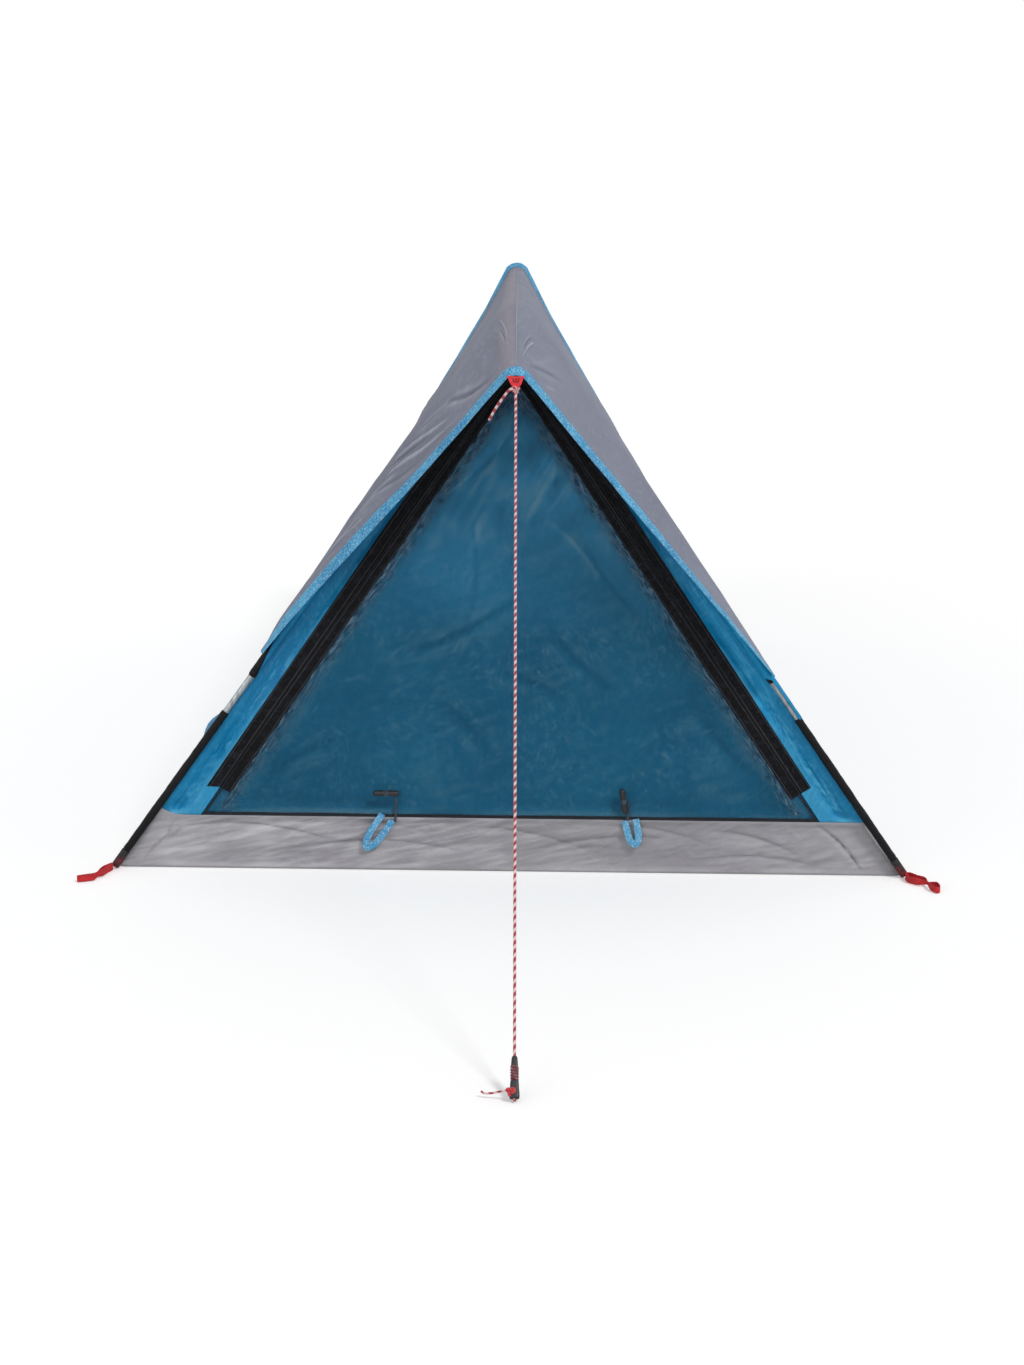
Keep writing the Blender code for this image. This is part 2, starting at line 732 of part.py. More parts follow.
def build_peg_loop(leg, material):
    """Upright webbing band bent into a long loop, which lies out from the pole's foot."""
    side_sign = 1 if leg.base.x > 0 else -1
    end_sign = 1 if leg.base.y > 0 else -1
    heading = Vector((side_sign * sin(PEG_LOOP_ANGLE), end_sign * cos(PEG_LOOP_ANGLE), 0))
    beside = leg.at((PEG_LOOP_LIFT + PEG_LOOP_TAPE_WIDTH / 2) / sin(leg.rise))
    reach = SLEEVE_RADIUS * hypot(heading.x / sin(leg.rise), heading.y) + GAP
    root = beside + heading * reach
    half = PEG_LOOP_WIDTH / 2
    straight = PEG_LOOP_LENGTH - PEG_LOOP_WIDTH
    path = []
    for centre, first in ((half + straight, -pi / 2), (half, pi / 2)):
        for step in range(PEG_LOOP_STEPS + 1):
            angle = first + pi * step / PEG_LOOP_STEPS
            path.append(Vector((centre + half * cos(angle), half * sin(angle), 0)))
    edit = bmesh.new()
    top = [edit.verts.new(point) for point in path]
    ring = [edit.edges.new((top[i], top[(i + 1) % len(top)])) for i in range(len(top))]
    raised = bmesh.ops.extrude_edge_only(edit, edges=ring)["geom"]
    hanging = [item for item in raised if isinstance(item, bmesh.types.BMVert)]
    bmesh.ops.translate(edit, vec=(0, 0, -PEG_LOOP_TAPE_WIDTH), verts=hanging)
    bmesh.ops.recalc_face_normals(edit, faces=edit.faces)
    loop = add_mesh("peg_loop_" + leg.name, edit, material)
    loop.location = (root.x, root.y, PEG_LOOP_LIFT + PEG_LOOP_TAPE_WIDTH)
    loop.rotation_euler = (0, 0, atan2(heading.y, heading.x))
    add_thickness(loop, PEG_LOOP_TAPE_THICKNESS)


def build_toggle(side, place, turn, elastic_x, material):
    """Plastic bar on an elastic strap that is sewn to the tub's top edge."""
    x, above_tub = place
    z = TUB_HEIGHT + above_tub
    strap_foot = TUB_HEIGHT - ELASTIC_TAIL
    y = -FACE_Y - GAP - TOGGLE_RADIUS
    half = TOGGLE_LENGTH / 2 * Vector((cos(turn), 0, sin(turn)))
    middle = Vector((x, y, z))
    toggle = rod("toggle_" + side, middle - half, middle + half, TOGGLE_RADIUS, material)
    strap_front = -FACE_Y - GAP - ELASTIC_THICKNESS
    strap = flat_outline(
        "elastic_" + side,
        [
            (elastic_x - ELASTIC_WIDTH / 2, strap_foot),
            (elastic_x + ELASTIC_WIDTH / 2, strap_foot),
            (elastic_x + ELASTIC_WIDTH / 2, z),
            (elastic_x - ELASTIC_WIDTH / 2, z),
        ],
        strap_front,
        ELASTIC_THICKNESS,
        material,
    )
    solid = curve_to_mesh(strap)
    bpy.data.collections[PARTS].objects.unlink(solid)
    link(solid, GUIDES)
    join_boolean(toggle, as_cutter(solid), "UNION")


def build_ribbon(side, top, bottom, spread, material):
    """Blue ribbon doubled into a narrow loop that hangs over the tub's edge.

    top and bottom are (x, height above the tub's edge).
    """
    start = Vector((top[0], TUB_HEIGHT + top[1]))
    run = Vector(bottom) - Vector(top)
    down = run.normalized()
    cross = Vector((-down.y, down.x))
    outer = spread / 2 + RIBBON_WIDTH
    inner = spread / 2
    inside = run.length - RIBBON_WIDTH

    def corner(sideways, distance):
        point = start + cross * sideways + down * distance
        return point.x, point.y

    outline = [corner(-outer, 0), corner(-outer, inside), corner(-inner, run.length)]
    outline += [corner(inner, run.length), corner(outer, inside), corner(outer, 0)]
    outline += [corner(inner, 0), corner(inner, inside - inner)]
    outline += [corner(-inner, inside - inner), corner(-inner, 0)]
    front = -FACE_Y - 2 * GAP - ELASTIC_THICKNESS - RIBBON_THICKNESS
    flat_outline("ribbon_loop_" + side, outline, front, RIBBON_THICKNESS, material)


def main():
    clear_scene()
    materials = {
        "fibreglass": make_material("fibreglass", (0.05, 0.05, 0.055), 0.45),
        "steel": make_material("steel", (0.62, 0.62, 0.64), 0.3, 1.0),
        "sleeve": make_material("black_sleeve_cloth", (0.02, 0.02, 0.024), 0.8),
        "webbing": make_material("corner_webbing", (0.03, 0.02, 0.02), 0.8),
        "elbow": make_material("black_elbow", (0.02, 0.02, 0.022), 0.45),
        "tub": make_material("grey_floor_cloth", (0.31, 0.31, 0.33), 0.6),
        "blue": make_material("blue_inner_cloth", (0.02, 0.17, 0.38), 0.6),
        "net": make_material("dark_net", (0.03, 0.10, 0.16), 0.8),
        "tape": make_material("black_zip_tape", (0.012, 0.012, 0.014), 0.75),
        "slider": make_material("dark_zip_metal", (0.08, 0.08, 0.085), 0.4, 0.8),
        "grey": make_material("grey_fly_cloth", (0.25, 0.26, 0.32), 0.55),
        "binding": make_material("light_blue_binding", (0.10, 0.38, 0.65), 0.6),
        "red": make_material("red_webbing", (0.65, 0.03, 0.04), 0.75),
        "rope": make_material("red_and_white_rope", (0.60, 0.20, 0.24), 0.8),
        "plastic": make_material("black_plastic", (0.015, 0.015, 0.017), 0.4),
    }
    legs = {}
    for end, joints in (("front", FRONT_JOINTS), ("rear", REAR_JOINTS)):
        for side in ("left", "right"):
            leg = Leg(end, side, joints)
            legs[leg.name] = leg
            build_leg(leg, materials)
            build_peg_loop(leg, materials["red"])
        build_elbow(end, leg, materials["elbow"])

    build_tub(materials["tub"])
    for side in ("left", "right"):
        build_side_wall(side, materials["blue"])
        build_front_panel(side, materials["blue"])
        build_slider(side, materials["slider"])
    build_rear_wall(materials["blue"])
    build_door(materials)
    build_zip_tapes(materials["tape"])

    surface = FlySurface(legs)
    rear_binding = build_fly(surface, materials)[1]
    build_rear_tab(rear_binding, surface, materials["red"])

    guy = GuyLine()
    build_front_tab(guy, materials["red"])
    build_rope(guy, materials["rope"])
    build_runner(guy, materials["plastic"])

    for side, (place, turn, elastic_x, ribbon_top, ribbon_bottom, spread) in TIES.items():
        build_toggle(side, place, turn, elastic_x, materials["plastic"])
        build_ribbon(side, ribbon_top, ribbon_bottom, spread, materials["binding"])
    bpy.context.view_layer.update()


main()
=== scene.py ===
# %% [markdown]
# # A ridge tent, piece by piece
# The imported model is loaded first. It is the fixed frame of this scene: every cloth, cord and
# fitting made below takes its place from it, and rides on one of its bodies.

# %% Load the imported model
from math import radians

import bmesh
import bpy
import numpy as np
from mathutils import Matrix, Vector


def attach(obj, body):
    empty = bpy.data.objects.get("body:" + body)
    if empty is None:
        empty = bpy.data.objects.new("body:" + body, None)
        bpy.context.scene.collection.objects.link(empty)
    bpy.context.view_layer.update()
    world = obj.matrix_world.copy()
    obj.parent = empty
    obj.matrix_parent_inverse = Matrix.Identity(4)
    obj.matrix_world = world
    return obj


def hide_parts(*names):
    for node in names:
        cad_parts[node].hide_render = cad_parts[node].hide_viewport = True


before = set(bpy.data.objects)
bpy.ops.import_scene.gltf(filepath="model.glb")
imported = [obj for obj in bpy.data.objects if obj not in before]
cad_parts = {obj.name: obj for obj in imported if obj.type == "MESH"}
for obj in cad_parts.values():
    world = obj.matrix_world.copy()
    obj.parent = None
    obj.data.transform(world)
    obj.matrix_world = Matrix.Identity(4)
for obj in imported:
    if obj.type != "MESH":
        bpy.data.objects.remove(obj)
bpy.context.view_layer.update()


scene = bpy.context.scene

# %% [markdown]
# ## Camera
# The photograph was taken from about 3.5 m before the door and a little over a metre up, tilted
# down 13 degrees. A camera could be posed by eye. Here its place, tilt and lens were fitted to
# fourteen points of the tent, so the pieces land on their places in the picture.

# %% Camera
PICTURE_HEIGHT = 1365
FOCAL_PIXELS = 2105
CAMERA_PLACE = (0, -4.568, 1.17)
TILT, ROLL = radians(90 - 13.1), radians(0.7)

camera_data = bpy.data.cameras.new("camera")
camera_data.sensor_width = 36
camera_data.lens = 36 * FOCAL_PIXELS / PICTURE_HEIGHT
camera = bpy.data.objects.new("camera", camera_data)
scene.collection.objects.link(camera)
scene.camera = camera
turn = Matrix.Rotation(TILT, 4, "X") @ Matrix.Rotation(ROLL, 4, "Z")
camera.matrix_world = Matrix.Translation(CAMERA_PLACE) @ turn
print("lens", round(camera_data.lens, 1), "mm")

# %% [markdown]
# ## The tent's own sizes
# These repeat the sizes of the model, in metres, so that every new surface can be worked out
# from the same straight lines: two A-frames, a floor that narrows to the rear, and an inner tent
# a little inside them.

# %% Sizes in metres
FRAME_Y = 1.025         # of the rear frame; the front one is at -FRAME_Y
FRONT_HALF, REAR_HALF = 0.7, 0.575
CROSSING = 0.985
ELBOW_BEND = 0.018
INNER_APEX = 0.955
TUB_TOP = 0.098
SLEEVE = 0.0075         # radius
GAP = 0.0003            # room between two pieces
FACE_Y = FRAME_Y - SLEEVE - GAP     # of the inner tent's front and rear
PANEL_FOOT = TUB_TOP + GAP
DOOR_PEAK = 0.901
PANEL_WIDTH = 0.084     # of a fixed front panel at the tub's edge
BINDING_WIDTH = 0.0145
TAPE_WIDTH = 0.02
GUY_TOP = np.array((0, -1.175, 0.89175))
GUY_END = np.array((0.01, -1.99, 0.00315))
ROPE_START = 0.0343
ROPE_RADIUS = 0.0021
SHEET_WALL = 0.0006     # thickness of a sheet's wall
MERGE = 0.000002        # points nearer than this become one
FRONT = (0, -1, 0)
SIDES = (("left", -1), ("right", 1))


def half_width(y):
    """Half of the floor's width: an even run from the front frame's to the rear frame's."""
    return FRONT_HALF + (REAR_HALF - FRONT_HALF) * (y + FRAME_Y) / (2 * FRAME_Y)


def inner_x(y, z):
    """Half-width of the inner tent at height z: it runs straight to nothing at its apex."""
    return half_width(y) * (1 - z / INNER_APEX)


DOOR_HALF = inner_x(-FACE_Y, TUB_TOP) - PANEL_WIDTH
DOOR_HEIGHT = DOOR_PEAK - TUB_TOP
ZIP_LEAN = np.arctan2(DOOR_HALF, DOOR_HEIGHT)
print("door", round(2 * DOOR_HALF, 3), "by", round(DOOR_HEIGHT, 3), "m")
print("zips lean", round(np.degrees(ZIP_LEAN), 1), "degrees")

# %% [markdown]
# ## From arrays to meshes
# A sheet of cloth is a grid of points: one number runs along it and one across. numpy works out
# the whole grid at once, and one helper turns any such grid into a mesh. The grid's running
# lengths become the UV map, in metres, so a weave or a stitch keeps its true size on any piece.

# %% Grid helpers
def cross_grid(down, across):
    """Two arrays: the values of down run down the rows, those of across run over the columns."""
    return np.meshgrid(down, across, indexing="ij")


def grid(rows, columns):
    """Two arrays that run from 0 to 1, the first down the rows and the second over the columns."""
    return cross_grid(np.linspace(0, 1, rows), np.linspace(0, 1, columns))


def join(*parts):
    """Put coordinates side by side in a last axis; a single number serves every point."""
    return np.stack(np.broadcast_arrays(*parts), -1)


def unit(vectors):
    """Vectors divided by their own length."""
    return vectors / np.maximum(np.linalg.norm(vectors, axis=-1, keepdims=True), 1e-12)


def slope_cross(points):
    """Normal of a grid, not yet of length 1: the slope down the rows x the slope across."""
    return np.cross(np.gradient(points, axis=0), np.gradient(points, axis=1))


def pushed(points, height):
    """Move each point by height along the grid's normal."""
    return points + unit(slope_cross(points)) * height[..., None]


def metres_along(points, axis):
    """Running length of the grid's lines along one axis: the sum of the steps so far."""
    steps = np.linalg.norm(np.diff(points, axis=axis), axis=-1)
    return np.concatenate((np.zeros_like(steps.take([0], axis)), steps.cumsum(axis)), axis)


def grid_mesh(name, points, folds):
    """Mesh of a grid: quads between neighbours, lengths as the UV map, folds as an attribute."""
    rows, columns = points.shape[:2]
    index = np.arange(rows * columns).reshape(rows, columns)
    quads = join(index[:-1, :-1], index[1:, :-1], index[1:, 1:], index[:-1, 1:]).reshape(-1, 4)
    lengths = join(metres_along(points, 0), metres_along(points, 1)).reshape(-1, 2)
    mesh = bpy.data.meshes.new(name)
    mesh.vertices.add(rows * columns)
    mesh.vertices.foreach_set("co", points.astype(np.float32).ravel())
    mesh.loops.add(quads.size)
    mesh.loops.foreach_set("vertex_index", quads.ravel().astype(np.int32))
    mesh.polygons.add(len(quads))
    mesh.polygons.foreach_set("loop_start", np.arange(0, quads.size, 4, dtype=np.int32))
    mesh.update(calc_edges=True)
    uv_map = mesh.uv_layers.new(name="metres")
    uv_map.data.foreach_set("uv", lengths[quads.ravel()].astype(np.float32).ravel())
    if folds is not None:
        values = mesh.attributes.new("fold", "FLOAT", "POINT")
        values.data.foreach_set("value", folds.astype(np.float32).ravel())
    return mesh


def make_piece(name, points, finish, slot=None, *nodes, body="tent", facing=None,
               thickness=0.0, sharp=60, folds=None):
    """Turn a grid of points into an object with doubles merged, and let it ride on a body.

    Its looks come from a finish, and it stands for the CAD nodes that are named. It rides on the body only
    when a slot is given.
    facing is the rough direction of an open sheet's outer side; a closed shape has none, and its faces are
    turned outwards. thickness adds a wall on the inner side. folds is an array with one value a point,
    kept as the attribute "fold", which the cloth finish paints as highlight above 0 and shade below 0.
    """
    mesh = grid_mesh(name, points, folds)
    edit = bmesh.new()
    edit.from_mesh(mesh)
    bmesh.ops.remove_doubles(edit, verts=edit.verts, dist=MERGE)
    if facing is None:
        bmesh.ops.recalc_face_normals(edit, faces=edit.faces)
    elif slope_cross(points).mean((0, 1)) @ np.array(facing) < 0:
        bmesh.ops.reverse_faces(edit, faces=edit.faces)
    edit.to_mesh(mesh)
    edit.free()
    mesh.shade_smooth()
    mesh.set_sharp_from_angle(angle=radians(sharp))
    mesh.materials.append(finish.material)
    piece = bpy.data.objects.new(name, mesh)
    scene.collection.objects.link(piece)
    if thickness:
        wall = piece.modifiers.new("thickness", "SOLIDIFY")
        wall.thickness = thickness
        wall.offset = -1
    if slot:
        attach(piece, body)
    if nodes:
        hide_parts(*nodes)
    return piece


# %% [markdown]
# ## Carrying a profile along a path
# A rope, a strap and a wire are all one flat outline carried along a line. A curve object with a
# bevel would do it too, but arrays also let the outline swell, twist or ripple on the way.

# %% Path helpers
def carry(path, profile, up=(0, 0, 1), loop=False):
    """Carry a profile along a path: point = path + side * a + lift * b.

    side is tangent x up and lift is side x tangent; (a, b) is the profile, one for the whole
    path or one for each of its points.
    """
    path = np.asarray(path, float)
    if loop:
        tangent = unit(np.roll(path[:-1], -1, 0) - np.roll(path[:-1], 1, 0))
        tangent = np.concatenate((tangent, tangent[:1]))
    else:
        tangent = unit(np.gradient(path, axis=0))
    side = unit(np.cross(tangent, np.broadcast_to(np.asarray(up, float), path.shape)))
    lift = np.cross(side, tangent)
    profile = np.broadcast_to(profile, (len(path),) + np.shape(profile)[-2:])
    return path[:, None] + side[:, None] * profile[..., :1] + lift[:, None] * profile[..., 1:]


def ring(radius, sides=16):
    """Circle of points, the last on the first: (radius cos t, radius sin t)."""
    turn = np.linspace(0, 2 * np.pi, sides + 1)
    return radius * join(np.cos(turn), np.sin(turn))


def soft_box(width, height, sides=32, power=5):
    """Rounded rectangle: |x / half width| ^ power + |y / half height| ^ power = 1."""
    circle = ring(1, sides)
    return np.sign(circle) * np.abs(circle) ** (2 / power) * (width / 2, height / 2)


def capped(points):
    """Close a tube's two ends by gathering one more ring at each end into its middle."""
    first, last = (np.broadcast_to(end.mean(1, keepdims=True), end.shape)
                   for end in (points[:1], points[-1:]))
    return np.concatenate((first, points, last))


def smooth_route(knots, count):
    """Smooth line through a few knots: each stretch is a cubic blend of the four nearest."""
    knots = np.asarray(knots, float)
    padded = np.concatenate((2 * knots[:1] - knots[1:2], knots, 2 * knots[-1:] - knots[-2:-1]))
    at = np.linspace(0, len(knots) - 1 - 1e-9, count)
    first = at.astype(int)
    t = (at - first)[:, None]
    a, b, c, d = (padded[first + k] for k in range(4))
    bent = (2 * a - 5 * b + 4 * c - d) * t**2 + (3 * b - a - 3 * c + d) * t**3
    return 0.5 * (2 * b + (c - a) * t + bent)


def turned(start, end, profile, sides=32):
    """Turn (distance, radius) pairs round the line from start to end."""
    start, end = np.asarray(start, float), np.asarray(end, float)
    axis = unit(end - start)
    side = unit(np.cross(axis, (0.0, 1.0, 0.0)))
    rim = ring(1, sides) @ np.stack((side, np.cross(side, axis)))
    distance, radius = np.asarray(profile, float).T[..., None, None]
    return start + axis * distance + rim * radius


# %% [markdown]
# ## Finishes from nodes
# A finish is a small tree of nodes round one Principled shader. The class below adds a node and
# plugs its inputs in one line, so that each finish reads as a short recipe.

# %% Node helpers
class Nodes:
    """Nodes of one tree. Each method adds some and returns what comes out of them."""

    def __init__(self, tree):
        self.tree = tree

    def plug(self, socket, value):
        """Link another node's output into a socket, or set the socket's own value."""
        if isinstance(value, bpy.types.NodeSocket):
            self.tree.links.new(value, socket)
        else:
            socket.default_value = value

    def add(self, kind, settings=None, *values, **inputs):
        """Add a node of a kind; values go to its first inputs, and _ in an input's name is a space."""
        node = self.tree.nodes.new("ShaderNode" + kind)
        for key, value in (settings or {}).items():
            setattr(node, key, value)
        for place, value in enumerate(values):
            self.plug(node.inputs[place], value)
        for name, value in inputs.items():
            self.plug(node.inputs[name.replace("_", " ")], value)
        return node

    def calc(self, operation, first, second=0.0):
        """Result of one Math node."""
        return self.add("Math", {"operation": operation}, first, second).outputs[0]

    def mixed(self, share, first, second):
        """Colour between two colours."""
        node = self.add("Mix", {"data_type": "RGBA"}, share)
        self.plug(node.inputs[6], first)
        self.plug(node.inputs[7], second)
        return node.outputs[2]

    def spread(self, value, low, high, out_low=0.0, out_high=1.0):
        """Stretch the part of a value from low to high over another range, and stop at its ends."""
        return self.add("MapRange", None, value, low, high, out_low, out_high).outputs[0]

    def noise(self, where, scale, detail=4.0, stretch=None):
        """Random heights round 0.5, finer as scale grows; stretch draws them out along an axis."""
        if stretch:
            where = self.add("Mapping", Vector=where, Scale=stretch).outputs[0]
        node = self.add("TexNoise", Vector=where, Scale=scale, Detail=detail, Roughness=0.55)
        return node.outputs[0]

    def clouds(self, where, scale, detail, low, high, *out):
        """Noise with its part from low to high spread over another range."""
        return self.spread(self.noise(where, scale, detail), low, high, *out)

    def stripes(self, where, pitch, direction="X"):
        """Waves of one pitch in metres along X or Y: Blender's wave turns 20 radians a unit."""
        settings = {"wave_type": "BANDS", "bands_direction": direction}
        return self.add("TexWave", settings, Vector=where, Scale=np.pi / (10 * pitch)).outputs["Fac"]

    def repeat(self, length, pitch):
        """Place within one pitch, from 0 to 1, over and over."""
        return self.calc("FRACT", self.calc("DIVIDE", length, pitch))

    def gap(self, first, second):
        """Distance between two values."""
        return self.calc("ABSOLUTE", self.calc("SUBTRACT", first, second))

    def stitches(self, along, off_line, pitch, stitched, half_wide):
        """1 on the dashes of a seam: along it in every pitch, and near enough to its line."""
        dash = self.calc("LESS_THAN", self.repeat(along, pitch), stitched)
        return self.calc("MULTIPLY", dash, self.calc("LESS_THAN", off_line, half_wide))

    def bump(self, height, distance, strength=1.0, under=None):
        """Normal that leans with a height map; distance is the height's real size in metres."""
        node = self.add("Bump", Height=height, Distance=distance, Strength=strength)
        if under is not None:
            self.plug(node.inputs["Normal"], under)
        return node.outputs[0]

    def places(self):
        """Object coordinates, and the UV map in metres, whole and split in length and breadth."""
        node = self.add("TexCoord")
        flat = node.outputs["UV"]
        return node.outputs["Object"], flat, self.add("SeparateXYZ", Vector=flat).outputs


class Finish(Nodes):
    """A material: one Principled shader, and the nodes that feed it."""

    def __init__(self, name, roughness=0.5, **sockets):
        self.material = bpy.data.materials.new(name)
        self.material.use_nodes = True
        super().__init__(self.material.node_tree)
        self.feed(Roughness=roughness, **sockets)

    def feed(self, **sockets):
        """Set or link the shader's sockets; _ in a name is a space."""
        for name, value in sockets.items():
            self.plug(self.tree.nodes["Principled BSDF"].inputs[name.replace("_", " ")], value)


def paint(red, green, blue):
    """Screen colour from 0 to 255 as the linear colour that a shader takes."""
    screen = np.array((red, green, blue)) / 255
    linear = np.where(screen <= 0.04045, screen / 12.92, ((screen + 0.055) / 1.055) ** 2.4)
    return (*linear.tolist(), 1.0)


def paints(colours):
    """Several screen colours as linear ones."""
    return (paint(*colour) for colour in colours)


def dimmed(colour, share):
    """The same colour with less light."""
    return (*(share * part for part in colour[:3]), 1)


# %% [markdown]
# ## Guy rope
# A taut cord of 4.2 mm runs from the tab under the fly's peak to the ground, red with pale marks.
# Its two strand sets cross, so the marks look like short slanting dashes. The rope is a tube
# whose radius swells a little along a spiral, and the same spiral colours it from the UV map:
# u is the length along the rope and v the way round it.

# %% Rope finish
DASH_PITCH, STRAND_PITCH = 0.0125, 0.0021


def rope_finish(name, red, pale):
    """Red cord with pale dashes on one spiral, and threads on a finer counter-spiral."""
    f = Finish(name, 0.75, Sheen_Weight=0.3, Sheen_Roughness=0.5)
    where, _, (along, around, _) = f.places()
    turn = f.calc("DIVIDE", around, 2 * np.pi * ROPE_RADIUS)
    spiral = f.calc("FRACT", f.calc("ADD", f.calc("DIVIDE", along, DASH_PITCH), turn))
    mark = f.spread(f.gap(spiral, 0.5), 0.2, 0.27, 1.0, 0.0)
    threads = f.calc("SUBTRACT", f.calc("DIVIDE", along, STRAND_PITCH), f.calc("MULTIPLY", turn, 4))
    strand = f.gap(f.calc("FRACT", threads), 0.5)
    worn = f.noise(where, 420, 3)
    shade = f.mixed(f.spread(worn, 0.35, 0.7), red, dimmed(red, 0.62))
    light = f.mixed(f.spread(worn, 0.3, 0.7), pale, dimmed(pale, 0.8))
    # Painted shade in the grooves between the strands.
    groove_shade = f.spread(strand, 0.38, 0.5, 0, 0.35)
    f.feed(Base_Color=f.mixed(groove_shade, f.mixed(mark, shade, light), (0.05, 0.01, 0.015, 1)),
           Normal=f.bump(strand, 0.0004, 0.8))
    return f


rope_red = rope_finish("red_and_pale_rope", paint(178, 48, 62), paint(238, 205, 208))


# %% Rope from the tab to the ground
STRAND_TURN = 0.0126


def rope_tube(path, radius=ROPE_RADIUS, sides=16, up=(1, 0, 0)):
    """Round tube that swells where its spiral strands lie: r (1 + 0.05 cos(6 t - turns))."""
    turns = 2 * np.pi * metres_along(path[None], 1)[0][:, None] / STRAND_TURN
    swell = 1 + 0.05 * np.cos(6 * np.linspace(0, 2 * np.pi, sides + 1) - turns)
    return capped(carry(path, ring(radius, sides) * swell[..., None], up))


guy_line = unit(GUY_END - GUY_TOP)
guy_length = np.linalg.norm(GUY_END - GUY_TOP)
rope_length = guy_length - ROPE_START
rope_path = GUY_TOP + guy_line * (ROPE_START + rope_length * np.linspace(0, 1, 900)[:, None])
guy_rope = make_piece("guy_rope_cover", rope_tube(rope_path), rope_red, "rope", "guy_rope")
print("rope", round(rope_length, 3), "m")

# %% [markdown]
# ## Light and floor
# The tent stands on a plain white floor under soft daylight. A strong pale sky gives even light
# from all round, a soft sun lamp from the upper right gives the cloth its modelling, a weaker one
# from the left fills the dark sides, and the floor's own brightness for the camera keeps the
# background white while the shadow stays.

# %% World, lamps and floor
LAMPS = (("key_lamp", (3.0, -3.2, 5.2), 14, 1.5), ("fill_lamp", (-3.0, -4.0, 1.8), 40, 0.45))
FLOOR_SIZE = 60

scene.view_settings.view_transform = "Standard"
world = bpy.data.worlds.new("studio")
scene.world = world
world.use_nodes = True
sky = Nodes(world.node_tree)
ray = sky.add("LightPath").outputs
seen = sky.calc("MAXIMUM", ray["Is Camera Ray"], ray["Is Glossy Ray"])
seen = sky.calc("MAXIMUM", seen, ray["Is Transmission Ray"])
backdrop = world.node_tree.nodes["Background"].inputs
sky.plug(backdrop["Color"], (1, 1, 1, 1))
sky.plug(backdrop["Strength"], sky.spread(seen, 0, 1, 0.5, 1.0))

for name, location, softness, strength in LAMPS:
    lamp_data = bpy.data.lights.new(name, "SUN")
    lamp_data.angle = radians(softness)
    lamp_data.energy = strength
    lamp = bpy.data.objects.new(name, lamp_data)
    scene.collection.objects.link(lamp)
    turn = Vector(location).to_track_quat("Z", "Y").to_matrix().to_4x4()
    lamp.matrix_world = Matrix.Translation(location) @ turn

floor_white = f = Finish("floor_white", 0.9, Base_Color=(0.9, 0.9, 0.9, 1), Specular_IOR_Level=0.0)
glow = f.calc("MULTIPLY", f.add("LightPath").outputs["Is Camera Ray"], 0.2)
f.feed(Emission_Strength=glow, Emission_Color=(1, 1, 1, 1))
floor_points = join(*(FLOOR_SIZE * (share - 0.5) for share in grid(2, 2)), 0.0)
floor = make_piece("floor", floor_points, floor_white, facing=(0, 0, 1))

# %% [markdown]
# ## Wrinkles
# Cloth under tension shows two kinds of relief: small random crinkles, and long creases that
# start where it is held. Soft random heights come from a lattice of random numbers with a smooth
# blend between them. A long crease is a sharp ridge along a line that fades at its two ends.

# %% Relief helpers
def bell(x, width, power=2):
    """Smooth hump, 1 at x = 0 and near 0 beyond the width: e^(-(x / width)^power)."""
    return np.exp(-((x / width) ** power))


def soft_noise(x, y, size, seed):
    """Smooth random heights from -1 to 1: lattice values of one size, blended with 3 t^2 - 2 t^3."""
    table = np.random.default_rng(seed).uniform(-1, 1, (64, 64))
    gx, gy = x / size + 31.7, y / size + 17.3
    ix, iy = np.floor(gx).astype(int), np.floor(gy).astype(int)
    fx, fy = gx - ix, gy - iy
    fx, fy = fx * fx * (3 - 2 * fx), fy * fy * (3 - 2 * fy)
    value = lambda i, j: table[(ix + i) % 64, (iy + j) % 64]
    low = value(0, 0) * (1 - fx) + value(1, 0) * fx
    high = value(0, 1) * (1 - fx) + value(1, 1) * fx
    return low * (1 - fy) + high * fy


def crinkle(x, y, size, seed):
    """Small sharp creases: 0.5 - |noise| at three sizes, each half as wide and high as the last."""
    return sum(0.5**k * (0.5 - np.abs(soft_noise(x, y, size * 0.5**k, seed + k))) for k in range(3))


def streaks(x, y, angle, length, width, seed):
    """Crinkles drawn out at an angle: x and y are turned, and the long way is shrunk."""
    c, s = np.cos(radians(angle)), np.sin(radians(angle))
    return crinkle((x * c + y * s) * width / length, y * c - x * s, width, seed)


def thousandths(*rows):
    """Table of numbers that are written in millimetres, or in thousandths of 1."""
    return np.array(rows) / 1000


def creases(x, y, lines):
    """Sum of long creases, each (x0, y0, x1, y1, height, width).

    Each is height e^(-distance / width), with a slight bow, faded at its ends.
    """
    total = np.zeros(np.broadcast(x, y).shape)
    for x0, y0, x1, y1, height, width in lines:
        run = np.hypot(x1 - x0, y1 - y0)
        along = ((x - x0) * (x1 - x0) + (y - y0) * (y1 - y0)) / run**2
        off = ((x - x0) * (y1 - y0) - (y - y0) * (x1 - x0)) / run
        bend = off + 0.06 * run * np.sin(np.pi * np.clip(along, 0, 1))
        total += height * np.clip(4 * along * (1 - along), 0, 1) * np.exp(-np.abs(bend) / width)
    return total


def fade(value, start, end):
    """Smooth rise from 0 at start to 1 at end."""
    t = np.clip((value - start) / (end - start), 0, 1)
    return t * t * (3 - 2 * t)


def fold_marks(height, scale, rounds=10):
    """1 on a fold's crest and -1 in a valley: height less its own blur, over a scale in metres. The cloth
    finish paints them as highlight and shade.
    """
    blur = height
    for _ in range(rounds):
        wide = np.pad(blur, 1, mode="edge")
        beside = wide[:-2, 1:-1] + wide[2:, 1:-1] + wide[1:-1, :-2] + wide[1:-1, 2:]
        blur = 0.2 * (wide[1:-1, 1:-1] + beside)
    return np.clip((height - blur) / scale, -1, 1)
